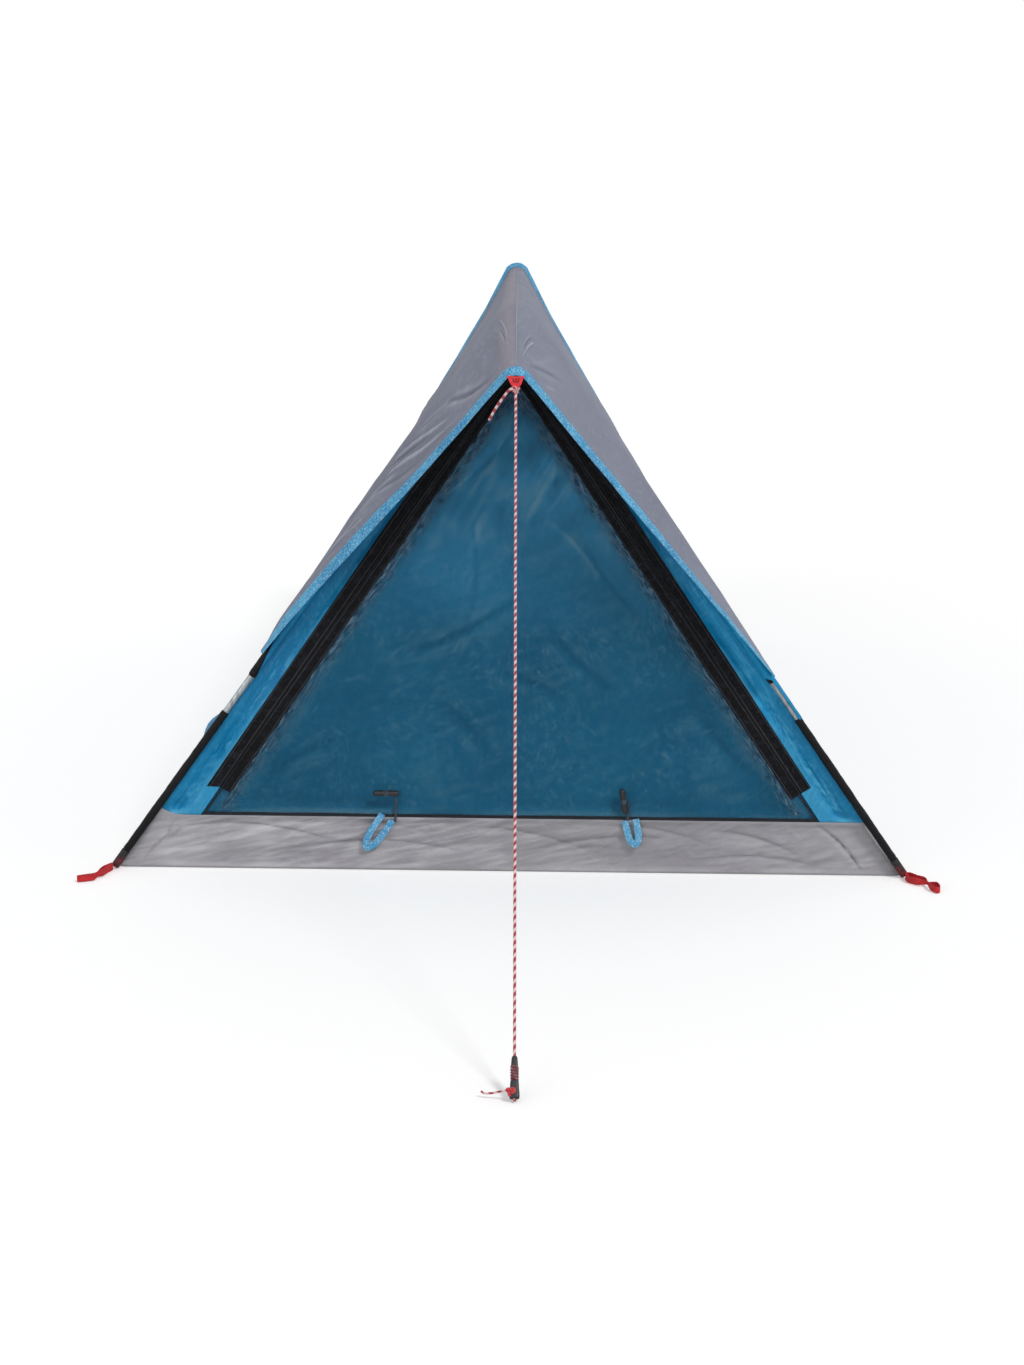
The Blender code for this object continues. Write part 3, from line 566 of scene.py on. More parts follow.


# %% [markdown]
# ## Tent cloth
# The fly and the inner tent are thin coated polyester. Up close it is a fine plain weave, and
# from a step away one sees soft crumples that catch the light and a slightly blotchy colour.
# Both come from noise on Object coordinates: the crumples are bumps, and their light and shade is also
# painted into the colour as pale flecks and edges and darker cells. The weave comes from two crossed waves
# on the UV map, so each thread keeps its size. Folds shaped in the geometry are painted as well, with
# highlight on their crests and shade in their valleys.

# %% Cloth finish
def warped(f, where, scale, amount):
    """Coordinates moved about by noise, so that a regular pattern bends."""
    drift = f.add("TexNoise", Vector=where, Scale=scale, Detail=2.0).outputs["Color"]
    shift = f.add("VectorMath", {"operation": "SCALE"}, drift, Scale=amount).outputs[0]
    return f.add("VectorMath", {"operation": "ADD"}, where, shift).outputs[0]


def cloth_finish(name, colours, roughness, cells, stretch, depth, glints, weave=0.0007,
                 gloss=0.25, band=None):
    """Crumpled cloth in three colours: its own, a deep one and a pale one.

    cells is the number of crumples in a metre and depth their height, glints the share of the pale colour.
    The pale colour is painted highlight: flecks, crumple edges and fold crests. The deep one is the
    cloth's random tone and weave, and also painted shade in the crumples and fold valleys. band is (axis,
    start, full from, full to, end, colour): a second colour between two places on an Object axis, which
    paints shade beside the fly's ridge and light high on the door.
    """
    colour, deep, pale = paints(colours)
    f = Finish(name, Specular_IOR_Level=gloss)
    where, flat, _ = f.places()
    bent = warped(f, warped(f, where, 5, 0.16), 30, 0.02)
    drawn = f.add("Mapping", Vector=bent, Scale=stretch).outputs[0]
    wide, fine, glint_edges = (
        f.add("TexVoronoi", {"feature": feature}, Vector=drawn, Scale=scale).outputs["Distance"]
        for feature, scale in (("F1", cells), ("F1", cells * 3.7), ("DISTANCE_TO_EDGE", cells * 3.7)))
    base = f.mixed(f.clouds(where, 4, 6, 0.36, 0.66), deep, colour)
    # The band is painted shade on the fly and painted light on the door.
    if band:
        axis, start, full_from, full_to, end, second = band
        level = f.add("SeparateXYZ", Vector=where).outputs[axis]
        share = f.calc("MULTIPLY", f.spread(level, start, full_from), f.spread(level, end, full_to))
        base = f.mixed(share, base, paint(*second))
    # Pale flecks: painted glints where the weave catches the light.
    shown = f.clouds(where, 9, 5, 0.42, 0.62, 0.25, 1)
    sparkle_fleck = f.spread(f.noise(bent, 130, 4, stretch), 0.52, 0.7, 0, glints)
    base = f.mixed(f.calc("MULTIPLY", shown, sparkle_fleck), base, pale)
    # Painted shade darkens the small crumple cells towards their rims, and painted highlight lines their
    # edges.
    base = f.mixed(f.spread(fine, 0.1, 0.7, 0, 0.5 * glints), base, deep)
    base = f.mixed(f.spread(glint_edges, 0, 0.05, 0.2 * glints, 0), base, pale)
    # Painted highlight on fold crests, where fold is above 0, and painted shade in valleys, below 0.
    fold = f.add("Attribute", {"attribute_name": "fold"}).outputs["Fac"]
    base = f.mixed(f.spread(fold, 0, 1, 0, 0.55), base, pale)
    base = f.mixed(f.spread(fold, 0, -1, 0, 0.5), base, dimmed(deep, 0.6))
    threads = f.calc("MULTIPLY", f.stripes(flat, weave), f.stripes(flat, weave, "Y"))
    small = f.bump(fine, depth * 0.3, 0.7, f.bump(wide, depth, 0.8))
    f.feed(Base_Color=f.mixed(f.spread(threads, 0, 1, 0, 0.12), base, deep),
           Roughness=f.clouds(where, 30, 3, 0.3, 0.7, roughness - 0.08, roughness + 0.1),
           Normal=f.bump(threads, 0.0001, 0.35, small))
    return f


# The fly's band paints shade on a strip just left of the ridge seam.
fly_grey = cloth_finish(
    "grey_fly_cloth", ((136, 140, 155), (124, 127, 142), (184, 188, 198)),
    0.6, 7, (1, 0.5, 1), 0.005, 0.2, gloss=0.03, band=(0, -0.031, -0.026, -0.003, 0.001, (139, 136, 147)))
inner_blue = cloth_finish(
    "blue_inner_cloth", ((0, 135, 184), (0, 110, 158), (104, 190, 224)), 0.4, 14, (1, 1, 0.4), 0.005, 0.27)
# The door's band paints light on its upper part, where the fly's peak shades it.
door_blue = cloth_finish(
    "blue_door_cloth", ((36, 135, 178), (20, 116, 160), (160, 218, 240)),
    0.45, 7, (1, 1, 0.7), 0.006, 0.2, band=(2, 0.42, 0.7, 0.77, 0.86, (74, 180, 236)))
tub_grey = cloth_finish(
    "grey_tub_cloth", ((156, 155, 159), (138, 136, 142), (206, 205, 209)),
    0.4, 10, (0.3, 0.3, 1.2), 0.005, 0.18)


# %% [markdown]
# ## Fly
# The fly hangs over both frames: round at the ridge, straight to its hems, and drawn forward and
# down to the guy rope. Its surface is worked out as lengthwise lines. Each line starts on the
# front edge, passes over the front frame and ends at the rear edge; `across` runs from -1 at the
# left hem over 0 at the ridge to 1 at the right hem.

# %% Fly surface
HEMS = (0.398, 0.368)   # heights on the left and right
CLOTH = 0.0015
FLY_LIFT = 0.0022       # room over the elbow's tube
PEAK_HEIGHT = 0.8925    # of the front edge
EDGE_ARC, FRONT_ARC, REAR_ARC = 0.025, 0.045, 0.0235    # radii over the ridge
ARC_SHARE = 0.25        # part of the half girth that the arc takes up
CORNER_REACH = 0.03     # of the front edge ahead of the frame, at the hem
PEAK_REACH = 0.12       # and what the peak adds to it
OVERHANG = 0.025        # behind the rear frame
RIDGE_SAG, HEM_RISE = 0.012, 0.03
BEND_REACH = 0.14
front_rise, rear_rise = np.arctan2(CROSSING, FRONT_HALF), np.arctan2(CROSSING, REAR_HALF)


def fly_top(rise):
    """Height of the fly over an elbow: crossing, less the elbow's bend, plus its tube and the cloth."""
    return CROSSING - ELBOW_BEND * (1 / np.cos(rise) - 1) + SLEEVE + GAP + FLY_LIFT + CLOTH


def ridge_section(across, top, radius, corner_x, corner_z):
    """Half outline: an arc of the radius over the ridge, then a straight side down to the corner."""
    share, centre = np.abs(across), top - radius
    drop = centre - corner_z
    slope = np.arctan2(drop, corner_x) + np.arcsin(radius / np.hypot(corner_x, drop))
    angle = slope * np.clip(share / ARC_SHARE, 0, 1)
    side = np.clip((share - ARC_SHARE) / (1 - ARC_SHARE), 0, 1)
    x = radius * np.sin(angle) * (1 - side) + corner_x * side
    return np.sign(across) * x, (centre + radius * np.cos(angle)) * (1 - side) + corner_z * side


def fly_lines(across):
    """Front edge, front frame and rear edge points of each line, and the lengths between them."""
    hem = np.where(across < 0, *HEMS)
    front_x, rear_x = (half * (1 - hem / CROSSING) + (SLEEVE + GAP + CLOTH) / np.sin(rise)
                       for half, rise in ((FRONT_HALF, front_rise), (REAR_HALF, rear_rise)))
    x, z = ridge_section(across, PEAK_HEIGHT, EDGE_ARC, front_x, hem)
    edge = join(x, -FRAME_Y - CORNER_REACH - PEAK_REACH * (z - hem) / (PEAK_HEIGHT - hem), z)
    x, z = ridge_section(across, fly_top(front_rise), FRONT_ARC, front_x, hem)
    over = join(x, -FRAME_Y, z)
    x, z = ridge_section(across, fly_top(rear_rise), REAR_ARC, rear_x, hem)
    rear = join(x, FRAME_Y + OVERHANG, z)
    return edge, over, rear, *(np.linalg.norm(step, axis=-1) for step in (over - edge, rear - over))


def fly_point(across, distance):
    """Point at a distance back from the front edge, with the ridge's sag and the hem's rise.

    The bend over the front frame is rounded by tan(half bend) * s * (1 - s / 140 mm)^2, s from the
    frame. The rear edge flares outwards by 5 to 12 mm * e^(-(s / 9 mm)^2), and the front edge curls
    in likewise, s from the edge. Low on the left the cloth behind that edge also stands 9 mm out,
    which turns the binding to the front.
    """
    edge, over, rear, flap, span = fly_lines(across)
    before = np.clip(distance / flap, 0, 1)[..., None]
    share = np.clip((distance - flap) / span, 0, 1)
    point = edge * (1 - before) + over * before + (rear - over) * share[..., None]
    into, onward = unit(over - edge), unit(rear - over)
    half_bend = np.arccos(np.clip((into * onward).sum(-1), -1, 1)) / 2
    away = np.abs(distance - flap)
    reach = np.where(distance < flap, np.minimum(BEND_REACH, flap), BEND_REACH)
    swell = np.tan(half_bend) * away * np.clip(1 - away / reach, 0, 1) ** 2
    point = point + unit(into - onward) * swell[..., None]
    to_rear = np.clip(flap + span - distance, 0, 1)
    off_ridge = np.abs(across)
    lean = np.clip(4 * across, -1, 1)
    outward = unit(join(0.82 * lean, 0.0, 1 - 0.43 * np.abs(lean)))
    flare = 0.0125 - 0.007 * fade(off_ridge, 0.2, 0.4) + 0.0035 * fade(off_ridge, 0.5, 0.8)
    tuck = 0.0055 * fade(1 - off_ridge, 0.05, 0.5) + 0.002 * fade(0.3 - off_ridge, 0, 0.25)
    roll = 0.0095 * fade(-across, 0.48, 0.7) * (1 - 0.7 * fade(-across, 0.92, 1.0))
    roll = roll * fade(distance, -0.004, 0.016) * bell(np.clip(distance - 0.016, 0, 1), 0.06)
    curl = flare * bell(to_rear, 0.009) - tuck * bell(distance, 0.011) + roll
    point = point + outward * curl[..., None]
    sag = 4 * share * (1 - share)
    point[..., 2] -= RIDGE_SAG * sag * (1 - off_ridge)
    inward = unit(join(-point[..., 0], 0.0, CROSSING - point[..., 2]))
    return point + inward * (HEM_RISE * sag * off_ridge**3)[..., None]


# %% [markdown]
# The cloth's relief is added on top: a sewn seam down the ridge, a doubled hem, tension creases
# that fan out from the peak and from the corners, and small crinkles between them.

# %% Fly cloth
GIRTH_HALF = 0.77       # metres from the ridge to a hem
FLY_FAN = thousandths(
    (-205, 26, -310, 95, -3.5, 4.5), (-280, 26, -460, 86, 4, 5), (-320, 20, -480, 66, -3, 4.5),
    (-310, 50, -440, 116, 3.2, 4.5), (-350, 60, -450, 112, -2.6, 4), (-440, 22, -600, 60, 2.6, 4.5),
    (-500, 40, -640, 50, -2, 4), (-145, 150, -80, 90, 1.6, 4), (-150, 120, -100, 75, -1.4, 3.5),
    (65, 34, 190, 92, 1.8, 3.5), (75, 60, 160, 100, -1.4, 3), (215, 10, 250, 45, 1.4, 3.5),
    (170, 4, 260, 85, -1.2, 3.5), (-720, 60, -400, 900, 4, 30), (720, 60, 400, 900, 2, 30),
    (-720, 2100, -400, 1300, 4, 30), (720, 2100, 420, 1300, 4, 30))


def fly_relief(across, distance, flap, total):
    """Height of the cloth above its plain surface, near zero at the edges and over the poles."""
    side = GIRTH_HALF * across
    away = fade(distance, BINDING_WIDTH, 0.07) * fade(total - distance, BINDING_WIDTH, 0.07)
    free = fade(np.abs(side), 0.16, 0.3) * fade(np.abs(distance - flap), 0.0, 0.06)
    low_left = fade(-side, 0.24, 0.34) * fade(0.13 - distance, 0, 0.03)
    height = (0.006 * soft_noise(side, distance, 0.3, 8) * free
              + 0.0022 * streaks(side, distance, 62, 0.5, 0.09, 3) * free
              + 0.0012 * streaks(side, distance, 165, 0.1, 0.022, 14) * low_left
              + 1.4 * creases(side, distance, FLY_FAN) * fade(distance, 0.004, 0.02))
    hollow = fade(side, 0.36, 0.5) * fade(distance - flap, 0.014, 0.07) * fade(1.0 - distance, 0, 0.5)
    seam = 0.0007 * fade(0.0062 - np.abs(side - 0.001), 0, 0.0012)
    hem = 0.0007 * fade(np.abs(across), 0.9868, 0.9885)
    return (height - 0.009 * hollow) * away * fade(1 - np.abs(across), 0.0, 0.05) + seam + hem


def ridge_highlight_and_shade(side, distance, total):
    """Painted highlight on a seam that wanders beside the ridge, and painted shade on a strip to its left.
    """
    wander = (0.001 + 0.004 * np.sin(np.pi * distance / total)
              + 0.0008 * soft_noise(distance, 0, 0.11, 25))
    return 0.65 * bell(side - wander, 0.003) - 0.2 * fade(side, -0.034, -0.026) * fade(-side, 0, 0.003)


side_columns = np.concatenate((np.linspace(0, 0.012, 7), np.linspace(0.018, 0.25, 34),
                               np.linspace(0.255, 0.984, 140), np.linspace(0.9866, 1, 6)))
run_line = np.concatenate((np.linspace(0, 0.08, 54), np.linspace(0.084, 1, 72)))
across, run = cross_grid(np.concatenate((-side_columns[:0:-1], side_columns)), run_line)
flap, span = fly_lines(across)[3:]
total = flap + span
inset = BINDING_WIDTH - 0.004
distance = inset + (total - 2 * inset) * run
relief = fly_relief(across, distance, flap, total)
side = GIRTH_HALF * across
# Painted light on the fly: highlight on crease crests and shade in their valleys, stronger on the left and
# near the front edge, with the ridge's painted highlight and shade.
strength = (1.3 - 0.9 * fade(side, 0.2, 0.35)) * fade(0.3 - distance, 0, 0.15)
fly_fold_shading = strength * fold_marks(relief, 0.0007, 6) + ridge_highlight_and_shade(side, distance, total)
fly_points = pushed(fly_point(across, distance), relief)
fly_cloth = make_piece("fly_cloth", fly_points, fly_grey, "grey", "fly", facing=(0, 0, 1),
                       thickness=SHEET_WALL, folds=fly_fold_shading)
print("fly columns and rows", across.shape)

# %% [markdown]
# ## Light blue binding
# Both edges of the fly are wrapped in folded tape and sewn through. Its outline is a flat U: the
# top face, the round fold beyond the cloth's edge, and the under face. It is carried along the
# edge of the very same surface, so cloth and tape can't part.

# %% Binding finish and pieces
TENTH = 0.0001
BINDING_INSET = np.array((145, 142, 125, 118, 105, 60, 20, 6, 0, 0, 6, 20, 60, 110, 145, 145)) * TENTH
BINDING_HEIGHT = np.array((-2, 4, 6, 4, 7, 8, 7, 3, -4, -11, -17, -19, -19, -19, -18, -2)) * TENTH


def tape_finish(name, colours, rib=0.0012, stitch_from=0.0025):
    """Ribbed tape with one line of stitches; its colours are its own, deep, pale and the thread's."""
    colour, deep, pale, thread = paints(colours)
    f = Finish(name, 0.6, Specular_IOR_Level=0.2)
    where, flat, (along, over, _) = f.places()
    ribs = f.stripes(flat, rib)
    base = f.mixed(f.clouds(where, 24, 4, 0.35, 0.68), deep, colour)
    base = f.mixed(f.clouds(where, 380, 3, 0.5, 0.64, 0, 0.8), base, pale)
    base = f.mixed(f.spread(ribs, 0, 1, 0, 0.18), base, deep)
    stitch = f.stitches(along, f.gap(over, stitch_from), 0.0032, 0.72, 0.0004)
    raised = f.bump(f.noise(where, 120, 4), 0.0008, 0.5, f.bump(ribs, 0.00012, 0.6))
    f.feed(Base_Color=f.mixed(stitch, base, thread), Normal=f.bump(stitch, 0.0004, 1.0, raised))
    return f


binding_blue = tape_finish("light_blue_binding", ((84, 162, 202), (48, 126, 174), (160, 206, 226),
                                                  (120, 190, 222)))


def binding_points(from_rear):
    """Flat U carried along the fly's edge: point = surface at the inset + normal * height."""
    low = np.linspace(0.25, 1, 160)
    across_line = np.concatenate((-low[::-1], np.linspace(-0.245, 0.245, 90), low))
    across, depth = cross_grid(across_line, BINDING_INSET)
    flap, span = fly_lines(across)[3:]

    def at(inward):
        return fly_point(across, flap + span - inward if from_rear else inward + 0 * flap)

    middle, nearby = at(BINDING_WIDTH / 2), at(BINDING_WIDTH)
    inward = (middle - nearby) if from_rear else (nearby - middle)
    normal = unit(np.cross(np.gradient(middle, axis=0), inward))
    sway = 0.0006 * soft_noise(across, 0, 0.035, 21) + 0.0005 * soft_noise(across, 0, 0.12, 22)
    return at(depth) + normal * (BINDING_HEIGHT + sway)[..., None]


for end in ("front", "rear"):
    make_piece("binding_" + end, binding_points(end == "rear"), binding_blue, "binding",
               "fly_binding_" + end)

# %% [markdown]
# ## Red tabs
# A short tab of red webbing narrows from the binding to the rope's hole, front and rear. It is a
# grid that narrows and curls a little, doubled by a wall, with bar-tacks where it is sewn.

# %% Webbing finish and tabs
TAB_WALL = 0.0018


def webbing_finish(name, colours, rib=0.0021, foot=None):
    """Woven band in three colours. foot is one more below 12 mm, which ends by 26 mm."""
    colour, deep, pale = paints(colours)
    f = Finish(name, 0.7)
    where, flat, _ = f.places()
    if foot:
        level = f.add("SeparateXYZ", Vector=where).outputs[2]
        colour = f.mixed(f.spread(level, 0.012, 0.026), paint(*foot), colour)
    weave = f.calc("MULTIPLY", f.stripes(flat, rib, "Y"), f.stripes(flat, rib * 0.55))
    base = f.mixed(f.clouds(where, 140, 4, 0.42, 0.62), deep, colour)
    base = f.mixed(f.clouds(where, 420, 3, 0.6, 0.75, 0, 0.5), base, pale)
    rough = f.bump(f.noise(where, 300, 3), 0.0003, 0.5)
    f.feed(Base_Color=f.mixed(f.spread(weave, 0, 1, 0.3, 0), base, deep),
           Normal=f.bump(weave, 0.0005, 0.8, rough))
    return f


tab_red = webbing_finish("bright_red_webbing", ((238, 58, 66), (212, 40, 48), (246, 120, 122)))
loop_red = webbing_finish("red_webbing", ((212, 34, 42), (176, 22, 30), (228, 74, 78)))
black_webbing = webbing_finish("black_webbing", ((34, 32, 36), (20, 17, 20), (62, 60, 66)),
                               foot=(150, 24, 42))
tack_red = webbing_finish("dark_red_thread", ((120, 18, 30), (90, 12, 22), (170, 50, 60)), 0.0008)


def tab_points(top, down, out, length, tuck=0.0):
    """Tab that narrows from 28 to 9 mm; its sides curl forward, and its top is tucked in by tuck."""
    along, side = grid(30, 25)
    side = 2 * side - 1
    width = 0.014 * (1 - along) + 0.0044 * along + 0.0012 * np.sin(np.pi * along)
    curl = 0.0012 * side**2 * (1 - along) + 0.0005 * np.sin(9 * along + 2 * side)
    tack = 0.0006 * fade(0.0016 - np.abs(along * length - 0.008), 0, 0.0008)
    curl = curl + tack - tuck * fade(0.35 - along, 0, 0.35)
    across_way = unit(np.cross(down, out))
    points = np.asarray(top) + across_way * (width * side)[..., None]
    return points + np.asarray(down) * (length * along)[..., None] + np.asarray(out) * curl[..., None]


guy_side = np.array((1.0, 0, 0))
guy_front = unit(np.cross(guy_line, guy_side))
guy_front = guy_front if guy_front[1] < 0 else -guy_front
tab_top = GUY_TOP + guy_line * 0.006 + guy_front * 0.001
make_piece("tab_front", tab_points(tab_top, guy_line, guy_front, 0.028, 0.006), tab_red, "red",
           "guy_tab_front", facing=guy_front, thickness=TAB_WALL)
for name, column in (("0", -0.0045), ("50", 0.0005), ("100", 0.0055)):
    run = np.linspace(0.0085, 0.0175, 24)[:, None]
    path = (tab_top + guy_line * run + guy_side * column * (1.2 - 30 * run)
            + guy_front * (0.0004 + 0.0003 * np.sin(run * 2600)))
    thread = capped(carry(path, soft_box(0.0013, 0.001, 12), up=guy_front))
    make_piece("tab_stitch_" + name, thread, tack_red, "red")
rear_place = (0, FRAME_Y + OVERHANG - BINDING_WIDTH / 2, fly_top(rear_rise) - 0.0012)
make_piece("tab_rear", tab_points(rear_place, (0, 0, -1), (0, 1, 0), 0.034), tab_red, "red",
           facing=(0, 1, 0), thickness=TAB_WALL)

# %% [markdown]
# ## Knot and tail at the tab
# The rope's end is knotted through the tab and hangs beside it. An overhand knot is a trefoil
# curve, x = sin t + 2 sin 2t, y = cos t - 2 cos 2t, z = -1.3 sin 3t, drawn small and tight.

# %% Knot and tail
def knot_points(centre, size, normal):
    """Rope carried along a small trefoil that lies across the given normal."""
    t = np.linspace(0, 2 * np.pi, 161)
    curve = join(np.sin(t) + 2 * np.sin(2 * t), np.cos(t) - 2 * np.cos(2 * t), -1.3 * np.sin(3 * t))
    normal = unit(np.asarray(normal, float))
    side = unit(np.cross(normal, (0, 0, 1.0)))
    path = np.asarray(centre) + curve @ np.stack((side, np.cross(side, normal), normal)) * size
    return carry(path, ring(ROPE_RADIUS * 0.9, 12), normal + (0.01, 0.02, 0.03), loop=True)


knot_place = GUY_TOP + guy_line * (ROPE_START + 2 * ROPE_RADIUS)
tail_x = np.array((0, -0.006, -0.013, -0.022, -0.032, -0.042))
tail_z = np.array((0.002, 0.003, -0.002, -0.014, -0.029, -0.047))
tail_path = smooth_route(knot_place + join(tail_x, -0.002, tail_z), 120)
rope_tail = make_piece("rope_tail", rope_tube(tail_path, up=(0, 1, 0)), rope_red, "rope")
knot = knot_points(knot_place + (0, -0.001, 0.001), 0.0019, guy_front)
tab_knot = make_piece("tab_knot", knot, rope_red, "rope")

# %% [markdown]
# ## Inner walls
# The blue walls run from the tub's edge to the ridge and swell a little below the fly's hem.
# Each is a straight run from foot to ridge, plus the swell, plus creases that hang from the
# corners of the frame.

# %% Side and rear walls
WALL_FAN = [
    (0.1, 0.0, 0.5, 0.55, -0.004, 0.02), (1.9, 0.0, 1.5, 0.6, -0.004, 0.02),
    (0.05, 0.1, 0.9, 0.25, -0.003, 0.012), (2.0, 0.1, 1.2, 0.22, -0.003, 0.012),
    (0.6, 0.0, 0.75, 0.8, -0.003, 0.025), (1.3, 0.0, 1.2, 0.8, -0.003, 0.025)]
REAR_FAN = thousandths(
    (-450, 120, -100, 500, 4, 15), (450, 120, 100, 500, 4, 15), (0, 900, 20, 300, 3, 20))
FACE_ROOM = 0.0018      # between a side wall and the front or rear face
WALL_BELLY, WALL_SKEW, WALL_SAG = 0.009, 0.58, 0.018


def side_wall(sign):
    """Foot to ridge in straight lines, swollen by 9 mm, with folds pressed in; a corner puffs out."""
    along, up = cross_grid(np.concatenate((np.linspace(0, 0.06, 26), np.linspace(0.068, 1, 124))),
                           np.linspace(0, 1, 90))
    y = -FACE_Y + FACE_ROOM + 2 * (FACE_Y - FACE_ROOM) * along
    slope = np.arctan2(INNER_APEX, half_width(y))
    bulge = 4 * along * (1 - along)
    ridge_z = INNER_APEX - WALL_SAG * bulge - CLOTH * np.cos(slope)
    ridge = join(CLOTH * np.sin(slope) + 0.0002, y, ridge_z)
    foot = join(inner_x(y, PANEL_FOOT), y, PANEL_FOOT)
    belly = WALL_BELLY * bulge * np.sin(np.pi * up**WALL_SKEW)
    relief = creases(y + FACE_Y, up, WALL_FAN) - 0.005 * (0.5 + 0.5 * soft_noise(y, up, 0.2, 31))
    relief += 0.003 * (streaks(y, up, 75, 0.4, 0.09, 33) - 0.5)
    relief *= fade(along, 0, 0.02) * fade(1 - along, 0, 0.02) * fade(up, 0, 0.06) * fade(1 - up, 0, 0.06)
    puff = (0.021 if sign < 0 else 0.008) * fade(along, 0, 0.006)
    puff = puff * bell(along - 0.022, 0.014) * bell(up - 0.17, 0.04)
    out = join(np.sin(slope), 0.0, np.cos(slope)) * (belly + puff + relief)[..., None]
    points = foot * (1 - up)[..., None] + ridge * up[..., None] + out
    # The fold marks are painted as highlight on crests and shade in valleys.
    return points * (sign, 1, 1), fold_marks(relief, 0.0025)


for side, sign in SIDES:
    points, folds = side_wall(sign)
    wall = make_piece("side_wall_" + side, points, inner_blue, "blue", "inner_wall_" + side,
                      facing=(sign, 0, 0.5), thickness=SHEET_WALL, folds=folds)

up, side = grid(70, 90)
rear_z = PANEL_FOOT + (INNER_APEX - 0.004 - PANEL_FOOT) * up
rear_x = inner_x(FACE_Y, rear_z) * (2 * side - 1)
rear_depth = (0.005 + 0.004 * soft_noise(rear_x, rear_z, 0.22, 41)
              + 0.003 * streaks(rear_x, rear_z, 80, 0.4, 0.08, 43) + creases(rear_x, rear_z, REAR_FAN))
rear_depth = rear_depth * np.sin(np.pi * side) ** 0.5 * fade(up, 0, 0.08) * fade(1 - up, 0, 0.1)
# Its fold marks are painted as highlight on crests and shade in valleys.
rear_wall = make_piece("rear_wall", join(rear_x, FACE_Y - rear_depth, rear_z), inner_blue, "blue",
                       "inner_wall_rear", facing=(0, 1, 0), thickness=SHEET_WALL,
                       folds=fold_marks(-rear_depth, 0.0025))

# %% [markdown]
# ## Fixed front panels
# Between each pole and the zip there is a strip of the same blue cloth. The zip's stitching
# gathers it, so short ripples run away from the zip, and longer folds run down to the corner.

# %% Front panels
PANEL_FOLDS = thousandths(
    (600, 100, 460, 300, -5, 10), (570, 100, 400, 360, 6, 12), (520, 140, 330, 460, -4, 8),
    (440, 300, 250, 580, 4.5, 10), (360, 420, 200, 620, -3, 8), (580, 130, 530, 160, 3, 6))
PANEL_LIGHTS = {-1: (0.28, 0.48, 0.45), 1: (0.34, 0.64, 0.22)}     # strength, top, widening
POLE_SINE = 0.82        # turns a level distance into one square to the pole


def zip_x(z, outward=0.0):
    """Half-width of the zip line at height z, moved square to itself by outward."""
    line = DOOR_HALF * (1 - (z - TUB_TOP) / DOOR_HEIGHT)
    return np.maximum(line + outward / np.cos(ZIP_LEAN), 0.0002)


def front_panel(sign):
    """Rows from the tub to the apex, each from the zip line out to the pole, with folds in depth."""
    up, side = grid(260, 64)
    z = PANEL_FOOT + (INNER_APEX - 0.001 - PANEL_FOOT) * up
    inner, outer = zip_x(z, 0.0005), inner_x(-FACE_Y, z)
    x = inner + (outer - inner) * side
    from_zip = (x - inner) * np.cos(ZIP_LEAN) - TAPE_WIDTH
    to_pole = (outer - x) * POLE_SINE
    gather = soft_noise(x * 0.5, z + 0.7 * x, 0.016, 50 + sign) * np.exp(-np.clip(from_zip, 0, 1) / 0.014)
    swing = 1.0 if sign > 0 else 0.85
    folds = (creases(x * swing, z, PANEL_FOLDS) + 0.003 * soft_noise(x, z, 0.09, 52 + sign) + 0.0045
             + 0.005 * streaks(x, z, -52, 0.16, 0.028, 55 + sign)
             + 0.0022 * streaks(x, z, -58, 0.05, 0.009, 60 + sign)
             + 0.0016 * streaks(x, z, -20, 0.04, 0.012, 58 + sign))
    depth = (0.001 * (1 + gather) * fade(from_zip, -0.004, 0.006)
             + folds * fade(from_zip, 0, 0.02) * fade(to_pole, 0.008, 0.03))
    depth = np.clip(depth * fade(z, PANEL_FOOT, PANEL_FOOT + 0.02), 0, 0.02)
    # Painted light: a pale band along the zip below a top height, painted shade along the pole, and pale
    # painted streaks higher up.
    pale, top, widening = PANEL_LIGHTS[sign]
    lit = fade(np.clip(widening * (top - z), -0.02, 0.055) - from_zip, -0.008, 0.008)
    light = pale * lit - 0.45 * bell(to_pole, 0.028)
    light += 0.7 * (streaks(x, z, -55, 0.06, 0.008, 73 + sign) - 0.32) * fade(z, 0.2, 0.34)
    return join(sign * x, -FACE_Y + depth, z), fold_marks(-depth, 0.0013, 8) + light


for side, sign in SIDES:
    points, folds = front_panel(sign)
    panel = make_piece("face_panel_" + side, points, inner_blue, "blue", "front_panel_" + side,
                       facing=FRONT, thickness=SHEET_WALL, folds=folds)

# %% [markdown]
# ## Door
# The door has two layers that fold down together: blue cloth, and in front of it a black insect
# net. Both take the same relief, the net 2 mm in front. The net is see-through: its threads are
# drawn by the shader's alpha from the UV map, with a thread every 1.3 mm each way.

